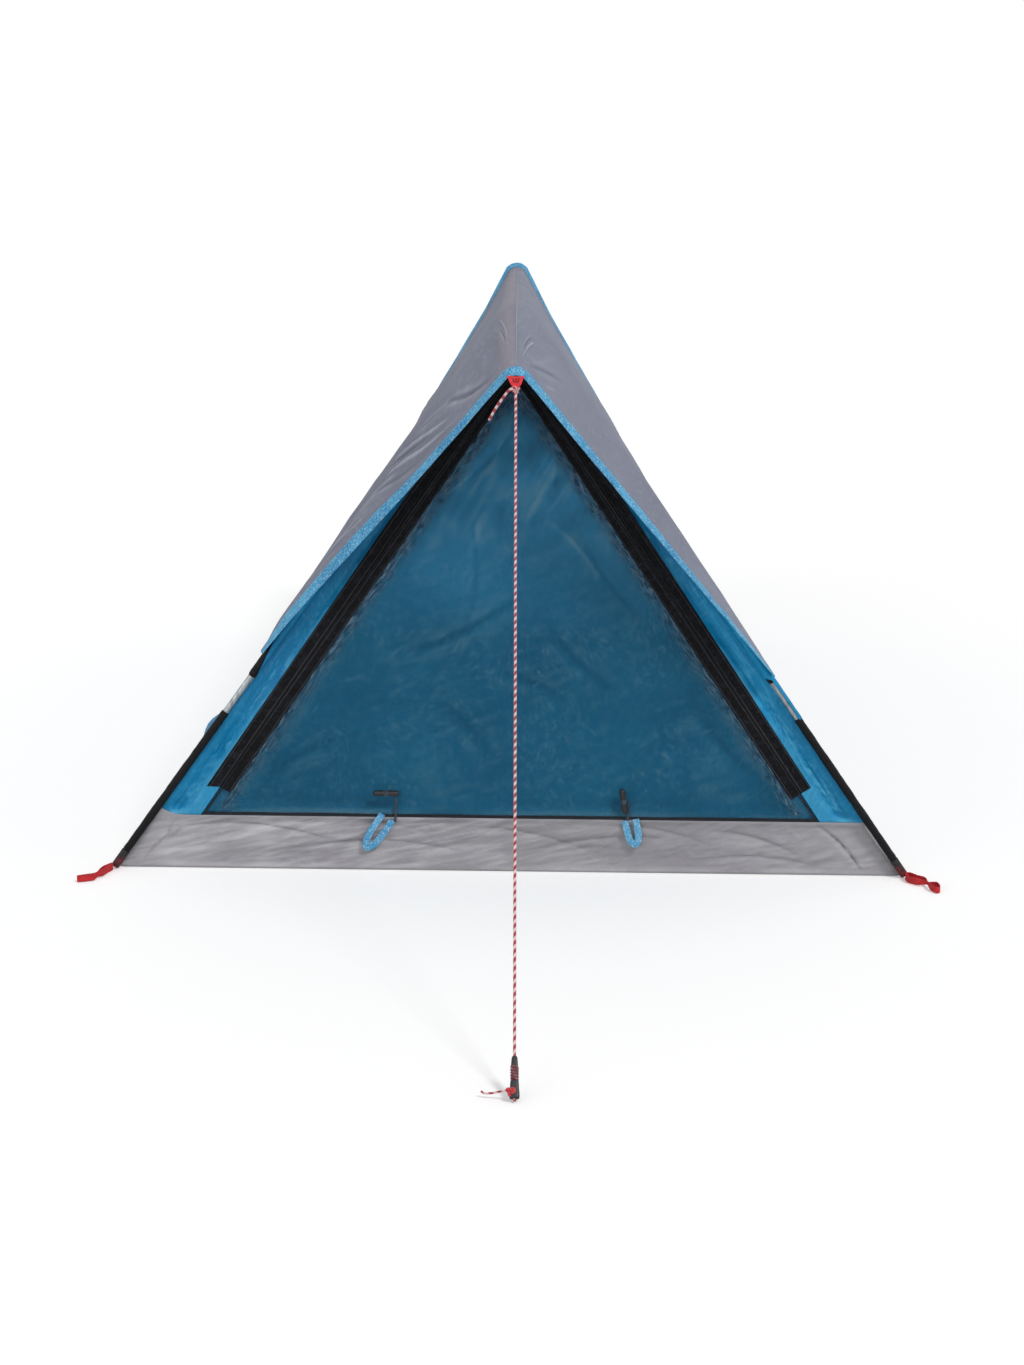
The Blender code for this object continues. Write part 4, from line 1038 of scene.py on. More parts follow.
# %% Door layers
DOOR_FOLDS = thousandths(
    (7, 790, -130, 660, 5.5, 10), (-120, 670, -190, 610, 3.5, 8), (-76, 640, -75, 450, 2.2, 6),
    (20, 500, -210, 385, 5, 12), (66, 690, 80, 750, -4, 8), (55, 630, 150, 520, -4.5, 14),
    (190, 320, 50, 450, 4.5, 14), (-370, 310, -240, 350, -1.2, 10), (220, 460, 120, 600, 4, 12),
    (-140, 310, -30, 200, 4, 14), (200, 210, 330, 270, -0.7, 12), (-440, 150, -300, 240, 3.5, 10),
    (450, 160, 300, 330, 3.5, 12), (-30, 360, 100, 300, 3.5, 10))
DOOR_LIGHT_LINES = thousandths(
    (-21, 772, -51, 699, 900, 3.5), (-69, 709, -135, 659, 1000, 3.5), (-135, 659, -190, 618, 800, 3.5),
    (-85, 738, -101, 697, 700, 4), (74, 709, 65, 683, -1000, 3.5), (108, 715, 153, 654, 800, 4),
    (30, 765, 85, 725, -600, 5), (19, 795, 21, 700, -700, 6), (62, 715, 10, 620, 600, 4),
    (-20, 660, -30, 580, -500, 5), (-60, 640, -75, 560, 500, 4), (-341, 353, -286, 382, 300, 4),
    (-216, 378, -188, 403, 300, 4), (-418, 182, -397, 217, -500, 4))
NET_PITCH, THREAD_SHARE = 0.0013, 0.21
LAYER_STEP = 0.002


def door_depth(x, z):
    """How far the door lies behind its plane: a hollow and creases, flat at the zips and the foot."""
    inside = (zip_x(z) - np.abs(x)) * np.cos(ZIP_LEAN) - TAPE_WIDTH
    loose = fade(inside, 0, 0.05) * fade(z, PANEL_FOOT, PANEL_FOOT + 0.03)
    depth = (0.0055 + creases(x, z, DOOR_FOLDS) + 0.0065 * soft_noise(x, z, 0.16, 61)
             + 0.0018 * streaks(x, z, 62, 0.14, 0.05, 64) * fade(z, 0.45, 0.75)
             + 0.0008 * streaks(x, z, 20, 0.09, 0.04, 67))
    low = fade(z, 0.16, 0.22)
    return loose * np.where(low < 1, np.maximum(depth, 0.0005) * (1 - low) + depth * low, depth)


def door_light(x, z):
    """Painted highlight (to 1) and painted shade (to -1): streaks and clouds near the peak, and single
    creases.
    """
    streaked = 1.1 * (streaks(x, z, 60, 0.1, 0.022, 71) - 0.3) + 0.45 * soft_noise(x, z, 0.03, 72)
    return 0.85 * streaked * fade(z, 0.5, 0.7) + creases(x, z, DOOR_LIGHT_LINES)


def door_layer(behind):
    """Rows from the foot to the peak, each from zip to zip, at a distance behind the net."""
    up, side = grid(200, 170)
    z = PANEL_FOOT + (DOOR_PEAK - 0.002 - PANEL_FOOT) * up
    x = np.maximum(zip_x(z, -0.0005), 0.0006) * (2 * side - 1)
    depth = door_depth(x, z)
    # Painted highlight on crests and painted shade in valleys, plus the door's painted light.
    folds = fold_marks(-depth, 0.0018) + door_light(x, z)
    return join(x, -FACE_Y + depth + behind, z), folds


net_black = f = Finish("black_insect_net", 0.8, Specular_IOR_Level=0.1)
where, _, lengths = f.places()
threads = [f.calc("LESS_THAN", f.repeat(lengths[way], NET_PITCH), THREAD_SHARE) for way in (0, 1)]
f.feed(Base_Color=f.mixed(f.clouds(where, 9, 4, 0.35, 0.7), paint(8, 14, 20), paint(18, 30, 42)),
       Alpha=f.calc("MAXIMUM", *threads), Normal=f.bump(f.noise(where, 40, 3), 0.001, 0.4))

points, folds = door_layer(LAYER_STEP)
door_panel = make_piece("door_cloth", points, door_blue, "blue", "door_panel", body="door",
                        facing=FRONT, thickness=SHEET_WALL, folds=folds)
door_net = make_piece("door_net", door_layer(0.0)[0], net_black, "net", "door_mesh", body="door",
                      facing=FRONT)

# %% [markdown]
# ## Zips
# Two zips meet at the door's peak. Each has a tape on the face and one on the door. A tape is a
# strip at a fixed distance from the zip line: point = peak + down * s + outward * o, and it is
# mitred where both sides meet in the middle.

# %% Zip tapes and teeth
ZIP_FOOT = 0.052        # from the tub's edge up to the zips' lower ends
ZIP_END = (DOOR_PEAK - (PANEL_FOOT + ZIP_FOOT)) / np.cos(ZIP_LEAN)
TOOTH_PITCH = 0.0026
TAPE_WALL = 0.0009


def zip_strip(offsets, height, rows, end=ZIP_END, left_cut=0.0):
    """Strip along both zips: height(s, o) is how far it stands out; left_cut slants its left end."""
    share, o = cross_grid(np.linspace(0, 1, rows), offsets)
    first = -o / np.tan(ZIP_LEAN)

    def one_side(last):
        s = first + (last - first) * share
        x = s * np.sin(ZIP_LEAN) + o * np.cos(ZIP_LEAN)
        z = DOOR_PEAK - s * np.cos(ZIP_LEAN) + o * np.sin(ZIP_LEAN)
        return join(x, -FACE_Y - height(s, o), z)

    return np.concatenate((one_side(end + left_cut * o)[::-1] * (-1, 1, 1), one_side(end)[1:]))


zip_black = f = Finish("black_zip_tape", 0.66, Specular_IOR_Level=0.12)
where, flat, (along, over, _) = f.places()
twill = f.stripes(f.add("Mapping", Vector=flat, Rotation=(0, 0, 0.7)).outputs[0], 0.0011)
base = f.mixed(f.clouds(where, 60, 5, 0.48, 0.72), paint(10, 10, 13), paint(30, 31, 37))
base = f.mixed(f.clouds(where, 210, 4, 0.56, 0.72, 0, 0.6), base, paint(62, 66, 76))
base = f.mixed(f.spread(twill, 0, 1, 0, 0.3), base, paint(8, 8, 10))
off_seam = f.gap(f.calc("PINGPONG", over, 0.0105), 0.003)
stitch = f.stitches(along, off_seam, 0.003, 0.7, 0.00035)
rough = f.bump(twill, 0.0002, 0.6, f.bump(f.noise(where, 45, 5), 0.003, 0.5))
f.feed(Base_Color=f.mixed(stitch, base, paint(92, 96, 106)), Normal=f.bump(stitch, 0.0003, 1.0, rough))


def tape_height(s, o):
    """Front of a tape: 1.5 mm out, raised hems at its edges and a slight pucker along it."""
    share = (np.abs(o) - 0.0005) / TAPE_WIDTH
    pucker = 0.0006 * soft_noise(s, o * 3, 0.03, 71) * fade(share, 0.15, 0.6)
    return 0.0015 + 0.0004 * (bell(share - 0.12, 0.05) + bell(share - 0.9, 0.05)) + pucker


strip = np.linspace(0.0005, 0.0205, 22)
make_piece("zip_tape_face", zip_strip(strip, tape_height, 420, left_cut=0.62), zip_black, "tape",
           "face_zip_tape", facing=FRONT, thickness=TAPE_WALL)
make_piece("zip_tape_door", zip_strip(-strip[::-1], tape_height, 420), zip_black, "tape",
           "door_zip_tape", body="door", facing=FRONT, thickness=TAPE_WALL)

coil_black = f = Finish("black_zip_coil", 0.45, Specular_IOR_Level=0.15)
where = f.places()[0]
f.feed(Base_Color=f.mixed(f.clouds(where, 200, 3, 0.4, 0.7), paint(9, 9, 11), paint(30, 31, 35)),
       Roughness=f.clouds(where, 90, 3, 0.3, 0.7, 0.28, 0.5))

for kind, inward, phase, body in (("face", 1, 0.0, "tent"), ("door", -1, np.pi, "door")):
    middle, half = inward * 0.00175, 0.00165
    tooth = lambda s, o: 0.0012 + 0.0016 * np.sqrt(np.clip(1 - ((o - middle) / half) ** 2, 0, 1)) * (
        0.7 + 0.3 * np.sin(2 * np.pi * s / TOOTH_PITCH + phase))
    offsets = middle + np.linspace(-half, half, 7)
    make_piece("zip_teeth_" + kind, zip_strip(offsets, tooth, 1500, end=ZIP_END - 0.003), coil_black,
               "slider", body=body, facing=FRONT)

# %% [markdown]
# Inside the door's tapes the net is doubled, which reads as a slightly paler band. Its foot has
# a narrow black edging along the tub, and the same edging runs on below the zips' ends.

# %% Net margins and the door's edging
margin_grey = f = Finish("frayed_net", 0.85, Specular_IOR_Level=0.1)
where, flat, (_, over, _) = f.places()
hairs = f.noise(flat, 900, 3, (0.3, 1, 1))
pale_share = f.spread(f.noise(flat, 420, 3, (0.12, 1, 1)), 0.47, 0.6)
thick = f.calc("MULTIPLY", f.spread(over, 0, 0.03), f.clouds(where, 40, 5, 0.38, 0.62, 0.6, 1))
f.feed(Base_Color=f.mixed(pale_share, paint(24, 50, 70), paint(112, 140, 160)),
       Alpha=f.calc("LESS_THAN", f.spread(thick, 0, 1, 0.66, 0.44), hairs))
margin = zip_strip(np.linspace(-0.05, -0.02, 16), lambda s, o: 0.0006, 300, end=ZIP_END + 0.03)
margin[..., 1] += np.maximum(door_depth(margin[..., 0], margin[..., 2]) - 0.0006, -0.0008)
make_piece("net_margin", margin, margin_grey, "net", body="door", facing=FRONT)

edging = tape_finish("black_edging", ((24, 24, 30), (14, 14, 18), (48, 50, 58), (60, 60, 66)),
                     stitch_from=0.0045)
band = soft_box(0.0046, 0.0012, 16)
foot_x = np.linspace(-1, 1, 240) * zip_x(PANEL_FOOT, -0.004)
foot_z = PANEL_FOOT + 0.0035 + 0.0004 * soft_noise(foot_x, 0, 0.06, 75)
foot_path = join(foot_x, -FACE_Y - 0.0004, foot_z)
make_piece("door_foot_edging", capped(carry(foot_path, band[:, ::-1])), edging, "tape", body="door")
for side, sign in SIDES:
    z = np.linspace(PANEL_FOOT + 0.002, PANEL_FOOT + 0.054, 30)
    path = join(sign * zip_x(z, -0.0035), -FACE_Y - 0.0004, z)
    rim = capped(carry(path, band * (0.7, 1), up=(0, 1, 0)))
    make_piece("door_rim_" + side, rim, edging, "tape", body="door")

# %% [markdown]
# ## Sliders and pulls
# A slider is a small metal shell that is wider at its shoulders. It is a rounded outline carried
# down the zip with a width that narrows, and a bridge over it carries the pull: a wire loop with
# a flat grip.

# %% Sliders and pulls
TAPE_FRONT = -FACE_Y - GAP - 0.0012
SLIDER_DOWN = 0.045


def metal_finish(name, dark, light, roughness, grain=(1, 1, 1)):
    """Worn metal between a dark and a light grey, brushed along the grain."""
    f = Finish(name, Metallic=1.0)
    where = f.places()[0]
    brushed = f.noise(where, 160, 4, grain)
    f.feed(Base_Color=f.mixed(f.spread(brushed, 0.35, 0.7), (*dark, 1), (*light, 1)),
           Roughness=f.clouds(where, 70, 4, 0.3, 0.7, roughness - 0.08, roughness + 0.15),
           Normal=f.bump(brushed, 0.0001, 0.5))
    return f


def end_round(s, power, root):
    """Size of a bar with rounded ends, for s from -1 to 1: (1 - |s|^power)^(1 / root)."""
    return (1 - np.abs(s) ** power) ** (1 / root)


def soft_bar(path, width, depth, sides, up, power=5):
    """Closed bar: a rounded rectangle of changing width and depth carried along a path."""
    return capped(carry(path, soft_box(1, 1, sides, power) * join(width, depth)[:, None], up=up))


zip_metal = metal_finish("dark_zip_metal", (0.05, 0.05, 0.055), (0.16, 0.16, 0.17), 0.38)
for side, sign in SIDES:
    slider, pull = "slider_" + side, "pull_" + side
    down = np.array((sign * np.sin(ZIP_LEAN), 0, -np.cos(ZIP_LEAN)))
    across_way = np.cross(down, (0, 1, 0))
    centre = np.array((0, TAPE_FRONT - GAP - 0.00225, DOOR_PEAK)) + SLIDER_DOWN * down
    s = np.linspace(-1, 1, 40)
    rounding = end_round(s, 8, 4)
    width = (0.0088 - 0.0018 * s - 0.0012 * bell(s - 0.1, 0.3)) * rounding
    depth = 0.0044 * rounding * (1 - 0.15 * fade(s, 0.2, 1))
    shell = soft_bar(centre + down * (0.0079 * s)[:, None], width, depth, 36, FRONT)
    make_piece("slider_shell_" + side, shell, zip_metal, "slider", "zip_slider_" + side, body=slider)
    t = np.pi * np.linspace(0, 1, 40)[:, None]
    arch = centre + down * (0.0052 * np.cos(t)) + np.array(FRONT) * (0.0018 + 0.0024 * np.sin(t))
    bridge = capped(carry(arch, soft_box(0.0026, 0.001, 16), up=(sign * 0.9, 0.0, 0.4)))
    make_piece("slider_bridge_" + side, bridge, zip_metal, "slider", body=slider)

    turn = np.linspace(0, 2 * np.pi, 97)[:, None]
    loop_side = np.sign(np.cos(turn)) * np.abs(np.cos(turn)) ** 0.6 * 0.0026
    front = centre + (0, -0.0029, 0)
    wire = front + across_way * loop_side + down * (0.00785 - 0.0075 * np.sin(turn))
    wire = carry(wire, ring(0.0006, 10), up=(0, 1, 0), loop=True)
    make_piece("pull_ring_" + side, wire, zip_metal, "slider", "zip_pull_" + side, body=pull)
    s = np.linspace(-1, 1, 30)
    rounding = end_round(s, 6, 5)
    grip = soft_bar(front + down * (0.02 + 0.0058 * s)[:, None], 0.0066 * rounding * (1 + 0.06 * s),
                    (0.0016 + 0.0002 * np.cos(14 * s)) * rounding, 28, FRONT)
    make_piece("pull_grip_" + side, grip, zip_metal, "slider", body=pull)

# %% [markdown]
# ## Tub floor
# The floor is one piece of coated cloth with its edges turned up. Its outline is a narrowing
# rectangle with round corners. The grid carries this outline down the wall, round the bottom
# fold, and inwards over the floor until it shrinks to the middle.

# %% Tub's shape
CORNER_CURVE = 0.02
SIDE_POINTS = (340, 230, 150, 230)
WALL_ROWS, FLOOR_ROWS = 44, 26
TUB_FOLDS = thousandths(
    (-600, 75, -300, 50, 6, 6), (-520, 90, -150, 70, 5, 6), (-400, 35, -50, 28, 6, 6),
    (-120, 80, 160, 30, 6, 9), (20, 30, 300, 60, 5, 7), (120, 85, 360, 50, 4.5, 6),
    (340, 80, 520, 30, 5.5, 7), (535, 96, 625, 4, 6, 2.5), (-635, 10, -575, 75, 6, 3),
    (300, 20, 550, 14, 4, 5))


def tub_outline(z):
    """Four-cornered outline at height z, each corner rounded; the ring runs along axis 0."""
    corners = [join(sx * inner_x(sy * FACE_Y, z), sy * FACE_Y)
               for sx, sy in ((-1, -1), (1, -1), (1, 1), (-1, 1))]
    parts = []
    for k in range(4):
        before, corner, after = corners[k - 1], corners[k], corners[(k + 1) % 4]
        enter = corner + unit(before - corner) * CORNER_CURVE
        leave = corner + unit(after - corner) * CORNER_CURVE
        t = np.linspace(0, 1, 14)[:, None, None]
        parts.append(enter * (1 - t) ** 2 + corner * 2 * t * (1 - t) + leave * t**2)
        t = np.linspace(0, 1, SIDE_POINTS[k])[1:-1, None, None]
        parts.append(leave * (1 - t) + (after + unit(corner - after) * CORNER_CURVE) * t)
    return np.concatenate((*parts, parts[0][:1]))


level = np.concatenate((TUB_TOP - (TUB_TOP - 0.004) * np.linspace(0, 1, WALL_ROWS),
                        (0.0022, 0.001, 0.0006), np.full(FLOOR_ROWS, 0.0006)))
shrink = np.concatenate((np.ones(WALL_ROWS), (0.9995, 0.9985, 0.997),
                         0.997 * (1 - np.linspace(0, 1, FLOOR_ROWS + 1)[1:])))
outline = tub_outline(level)
x, y = outline[..., 0], outline[..., 1]
girth = metres_along(outline[:, :1], 0)
to_corner = np.hypot(x + inner_x(-FACE_Y, TUB_TOP), y + FACE_Y)
on_wall = fade(level, 0.004, 0.014) * fade(TUB_TOP - level, 0.0, 0.012) * (1 - bell(to_corner, 0.035, 4))
along_wall = np.where(np.abs(y) > FACE_Y - 0.002, x, y)
dent = (0.003 + 0.0028 * soft_noise(girth, level * 2.2, 0.1, 81)
        + 0.0028 * streaks(girth, level, 9, 0.16, 0.02, 83)
        + 0.0016 * streaks(girth, level, 24, 0.1, 0.018, 91) + creases(along_wall, level, TUB_FOLDS))
inward_x = -np.sign(x) * (np.abs(y) < FACE_Y - 0.004)
inward_y = -np.sign(y) * (np.abs(y) >= FACE_Y - CORNER_CURVE)
inward = unit(join(inward_x, inward_y, 0.0))
tub_points = join(x * shrink, y * shrink, level) + inward * (np.clip(dent, 0, 0.012) * on_wall)[..., None]
ruck = soft_noise(tub_points[..., 0], tub_points[..., 1], 0.14, 87)
tub_points[..., 2] += np.clip(ruck, 0, 1) * 0.0016 * fade(1 - shrink, 0.003, 0.05)
lifted = fade(level, 0.055, TUB_TOP) * bell(to_corner, 0.026)
tub_points = tub_points + lifted[..., None] * (-0.0003, -0.0009, 0.017)

# %% [markdown]
# The front wall's cloth is creased in many thin lines that catch the light. They are too fine for the
# grid, so their highlight and shade are painted through the same attribute as the folds, together with
# broad painted light and shade and fine pale streaks.

# %% Tub's light and piece
TUB_LIGHT_LINES = thousandths(
    (-495, 47, -365, 88, 1100, 3.5), (-405, 53, -320, 86, 1100, 3.5), (-470, 36, -385, 44, 1000, 3),
    (-612, 8, -495, 40, 900, 4.5), (-510, 14, -300, 24, -800, 7), (-535, 82, -445, 94, -700, 4),
    (-300, 30, -180, 56, 700, 4), (-240, 66, -100, 84, 700, 4), (-40, 36, 330, 12, -600, 8),
    (330, 60, 460, 40, 400, 4), (-650, 10, -592, 68, -1300, 1.6), (-604, 55, -590, 86, -900, 1.6),
    (-622, 52, -598, 66, 600, 3), (-612, 20, -580, 40, 700, 2.5), (-640, 20, -520, 30, 600, 5))
# Broad painted light and shade on the front wall: strength, middle and width of each.
TUB_LIGHTS = ((0.3, -0.44, 0.13), (-0.25, 0.14, 0.16), (0.25, 0.47, 0.09), (0.15, -0.6, 0.06))

# Painted light and shade on the front wall only: these patches, fine pale streaks and the crease lines.
light = sum(height * bell(x - middle, width) for height, middle, width in TUB_LIGHTS)
fine = (np.clip(streaks(x, level, 14, 0.13, 0.0085, 95) - 0.3, -0.2, 0.6)
        + np.clip(streaks(x, level, 8, 0.2, 0.016, 97) - 0.25, 0, 0.6))
light += creases(x, level, TUB_LIGHT_LINES) + 0.85 * fine * (1 - 0.5 * fade(x, 0.15, 0.35))
light *= 0.8 + 0.35 * bell(x + 0.08, 0.2) - 0.35 * fade(x, 0.1, 0.3)
light *= (y < 0.004 - FACE_Y) * fade(level, 0.002, 0.008)
tub = make_piece("tub_cloth", tub_points, tub_grey, "tub", "floor_tub",
                 folds=fold_marks(-dent * on_wall, 0.0027, 6) + light)

# %% [markdown]
# ## Poles, sleeves and ferrules
# Each leg is a line from the floor's corner up to the crossing. Black cloth sleeves hide the pole
# sections, and one steel ferrule on each front leg stays bare between two sleeves. A sleeve is a
# tube turned round the leg, with a radius that wrinkles a little; its outline goes out along the
# outer face and back along the inner one, so that its ends are closed.

# %% Legs
JOINTS = {"front": 0.392, "rear": 0.37}
FERRULE_HALF = 0.04
ELBOW_ARM = 0.04
POCKET = 0.036
BORE = 0.0046


class Leg:
    """Line of one leg: point = base + (crossing - base) * distance / length."""

    def __init__(self, end, sign):
        half, self.y = (FRONT_HALF, -FRAME_Y) if end == "front" else (REAR_HALF, FRAME_Y)
        self.base = np.array((sign * half, self.y, 0.0))
        line = np.array((0.0, self.y, CROSSING)) - self.base
        length = np.linalg.norm(line)
        self.up = line / length
        self.rise = np.arctan2(CROSSING, half)
        self.foot = (SLEEVE * np.cos(self.rise) + GAP) / np.sin(self.rise)
        self.top = length - ELBOW_BEND * np.tan(self.rise) - ELBOW_ARM - GAP
        self.joint = JOINTS[end]

    def at(self, distance):
        """Point at a distance up the leg."""
        return self.base + self.up * distance


LEGS = {(end, side): Leg(end, sign) for end in JOINTS for side, sign in SIDES}


def rolled(d, length, width):
    """Round rim at both ends of a tube: sqrt(x (2 - x)), x from 0 at the end to 1 at the width."""
    x = np.minimum(1, np.minimum(d, length - d) / width)
    return np.sqrt(x * (2 - x))


def tube(leg, start, end, outer, inset, sides):
    """Tube along a leg: out over its outer (distance, radius) pairs, and back along the bore."""
    length = end - start
    outline = np.concatenate((((inset, BORE),), outer, ((length - inset, BORE),), ((inset, BORE),)))
    return outline, turned(leg.at(start), leg.at(end), outline, sides)


def sleeve_points(leg, start, end, seed):
    """Tube of radius 7 mm with a hem at each end, wrinkled by noise round the leg."""
    length = end - start
    d = np.linspace(0, length, max(40, int(length / 0.004)))
    hem = 0.00025 * (fade(0.009 - d, 0, 0.001) + fade(d - length + 0.009, 0, 0.001))
    outer = join(d, 0.0061 + 0.0009 * rolled(d, length, 0.001) + hem)
    outline, points = tube(leg, start, end, outer, 0.0006, 36)
    d, turn = outline[:, :1], np.linspace(0, 2 * np.pi, 37)
    wrinkle = (0.00045 * soft_noise(d, 0.02 * np.sin(turn) + 0.3, 0.024, seed)
               + 0.0003 * soft_noise(d + 0.006 * np.cos(turn), 0.006 * np.sin(turn), 0.008, seed + 1))
    wrinkle[[0, -2, -1]] = 0
    axis = leg.at(start) + leg.up * np.clip(d, 0, length)
    return points + unit(points - axis[:, None]) * np.clip(wrinkle, -0.0006, 0.0003)[..., None]


sleeve_black = cloth_finish("black_sleeve_cloth", ((22, 22, 25), (12, 12, 14), (52, 53, 58)), 0.55, 60,
                            (1, 1, 1), 0.0015, 0.4, 0.0009, 0.15)
seed = 100
for (end, side), leg in LEGS.items():
    bottom = leg.foot + POCKET + GAP
    stretches = (("", bottom, leg.top),)
    if end == "front":
        stretches = (("_lower", bottom, leg.joint - FERRULE_HALF),
                     ("_upper", leg.joint + FERRULE_HALF, leg.top))
    for part, start, stop in stretches:
        name = f"{end}_{side}{part}"
        make_piece("sleeve_cloth_" + name, sleeve_points(leg, start, stop, seed), sleeve_black,
                   "sleeve", "sleeve_" + name)
        seed += 2

ferrule_steel = metal_finish("brushed_ferrule_metal", (0.26, 0.29, 0.31), (0.5, 0.53, 0.55), 0.42,
                             (1, 1, 0.15))
d = np.linspace(0, 2 * FERRULE_HALF, 81)
crimps = sum(0.0003 * bell(d - middle, 0.0012) for middle in (0.007, 0.01, 0.07, 0.073))
outer = join(d, 0.0047 + 0.0008 * rolled(d, 2 * FERRULE_HALF, 0.0012) - crimps)
for side, _ in SIDES:
    leg = LEGS["front", side]
    points = tube(leg, leg.joint - FERRULE_HALF, leg.joint + FERRULE_HALF, outer, 0, 40)[1]
    make_piece("ferrule_tube_" + side, points, ferrule_steel, "steel", f"ferrule_front_{side}_lower")

# %% [markdown]
# High up the edge of each blue front panel is drawn over the sleeve. On the right it also covers the
# outer side of the bare ferrule, which shows as a thin bright line. It is a strip that leaves the
# panel's edge on a straight line, touches a circle round the leg, and follows the circle outwards.

# %% Panel edges round the front legs
EDGE_RADIUS = 0.008
EDGE_TOP = 0.27
EDGES = {"left": (0.045, 0, 0.135), "right": (-0.042, 0.062, -0.045)}


def panel_edge(leg, sign, first, open_to, closed_from):
    """Polar outline round the leg: radius / cos(angle to the tangent), then the radius itself.

    The distances are from the leg's joint. The strip starts at the first, its inner side is open
    up to the second, and its outer side is closed from the third one.
    """
    along, around = grid(150, 30)
    d = first + (EDGE_TOP - first) * along
    centre = leg.at((leg.joint + d)[..., None])
    inward = np.cross(leg.up, (0, sign, 0))
    edge_in = (np.abs(centre[..., 0]) - inner_x(-FACE_Y, centre[..., 2])) * np.sin(leg.rise)
    edge_front = FACE_Y - FRAME_Y
    edge_angle = np.arctan2(edge_front, edge_in)
    tangent = edge_angle + np.arccos(np.clip(EDGE_RADIUS / np.hypot(edge_in, edge_front), 0, 1))
    bare = radians(106) + radians(8) * soft_noise(leg.joint + d, 0, 0.03, 88)
    start = bare + (edge_angle - bare) * fade(d, open_to - 0.018, open_to)
    closed = np.clip((d - closed_from) / 0.09 + 1, 0, 1)
    end = np.arccos(np.clip(1 - 2 * closed, -0.97, 1))
    angle = start + (end - start) * around
    ripple = 0.0004 * soft_noise(leg.joint + d, angle * 0.008, 0.016, 89)
    reach = (EDGE_RADIUS / np.cos(np.clip(tangent - angle, 0, 1.2)) + ripple)[..., None]
    round_leg = join(np.cos(angle), np.sin(angle)) @ np.stack((inward, FRONT))
    return centre + reach * round_leg


for side, sign in SIDES:
    strip = panel_edge(LEGS["front", side], sign, *EDGES[side])
    make_piece("panel_edge_" + side, strip, inner_blue, "blue", facing=FRONT, thickness=0.0005)

# %% [markdown]
# The hidden poles, ferrules and elbows keep their model shapes. They only need finishes: glass
# fibre with long fine fibres in it, and satin metal.

# %% Finishes of the model's own parts
pole_fibre = f = Finish("grey_glass_fibre", 0.35, Coat_Weight=0.3)
fibres = f.noise(f.places()[0], 900, 3, (1, 1, 0.02))
f.feed(Base_Color=f.mixed(f.spread(fibres, 0.35, 0.7), paint(52, 54, 58), paint(92, 95, 100)),
       Normal=f.bump(fibres, 0.0001, 0.4))
elbow_metal = metal_finish("satin_elbow_metal", (0.38, 0.39, 0.4), (0.62, 0.62, 0.64), 0.4)

for name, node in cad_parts.items():
    for start, finish in (("pole_", pole_fibre), ("ferrule_", ferrule_steel), ("elbow_", elbow_metal)):
        if name.startswith(start):
            node.data.materials.clear()
            node.data.materials.append(finish.material)

# %% [markdown]
# ## Corner pockets and peg loops
# Each pole stands in a pocket of black webbing at the floor's corner. A loop of red webbing is
# sewn to it for the peg. The loop is a flat band that stands on its edge: its middle line is a
# long drop shape on the ground with a twist at the neck, and the band's profile is carried along.

# %% Pockets
POCKET_OUTLINE = TENTH * np.array((
    (0, 0), (0, 58), (6, 68), (16, 72), (100, 72), (108, 68), (116, 72), (240, 72), (248, 68),
    (256, 72), (345, 74), (358, 70), (360, 50), (60, 48), (55, 0)))
for (end, side), leg in LEGS.items():
    pocket = turned(leg.at(leg.foot), leg.at(leg.foot + POCKET), POCKET_OUTLINE, 40)
    make_piece(f"pocket_{end}_{side}", pocket, black_webbing, "webbing",
               f"corner_pocket_{end}_{side}", sharp=40)

# %% Peg loops
LOOP_LENGTH = 0.086
LOOP_SHAPES = {    # width, where the neck is, sideways swings along it, twist
    ("front", "left"): (0.007, 0.62, (0, 0.003, 0.01, 0.012, -0.004), 0.25),
    ("front", "right"): (0.019, 0.6, (0, -0.004, 0.002, 0.004, -0.003), 0.62),
    ("rear", "left"): (0.012, 0.5, (0, 0.003, 0.004, -0.002, -0.004), 0.3),
    ("rear", "right"): (0.014, 0.45, (0, -0.002, -0.004, 0.001, 0.003), 0.4)}


def loop_line(width, neck):
    """Middle line of a doubled band: out along one side, round the end and back to the root.

    share = (1 - cos t) / 2 of the length, and the offset is width / 2 |sin t|^0.7 with the sign
    of sin t, pinched at the neck, for t from 0 to 2 pi.
    """
    t = np.linspace(0, 2 * np.pi, 241)
    share = (1 - np.cos(t)) / 2
    pinch = 1 - 0.9 * bell(share - neck, 0.13)
    return share, width / 2 * np.sign(np.sin(t)) * np.abs(np.sin(t)) ** 0.7 * pinch


for (end, side), leg in LEGS.items():
    x_sign, y_sign = np.sign(leg.base[0]), np.sign(leg.y)
    heading = np.array((x_sign * 0.5, y_sign * np.sqrt(0.75), 0))
    aside = np.array((-heading[1], heading[0], 0))
    beside = leg.at(0.007 / np.sin(leg.rise))
    reach = SLEEVE * np.hypot(heading[0] / np.sin(leg.rise), heading[1]) + GAP
    root = beside + heading * (reach + 0.001)
    width, neck, swings, twist = LOOP_SHAPES[end, side]
    share, offset = loop_line(width, neck)
    swing = np.interp(share, np.linspace(0, 1, 5), swings)
    middle = root + heading * (LOOP_LENGTH * share)[:, None] + aside * (offset + swing)[:, None]
    middle[:, 2] = 0.0068 + 0.0012 * np.sin(np.pi * share) ** 2
    height = 0.0128 - 0.0012 * share - twist * 0.011 * bell(share - neck, 0.1)
    band = carry(middle, soft_box(1, 1, 28, 8) * join(0.0019, height)[:, None], loop=True)
    make_piece(f"peg_band_{end}_{side}", band, loop_red, "webbing", f"peg_loop_{end}_{side}",
               body=f"loop_{end}_{side}")

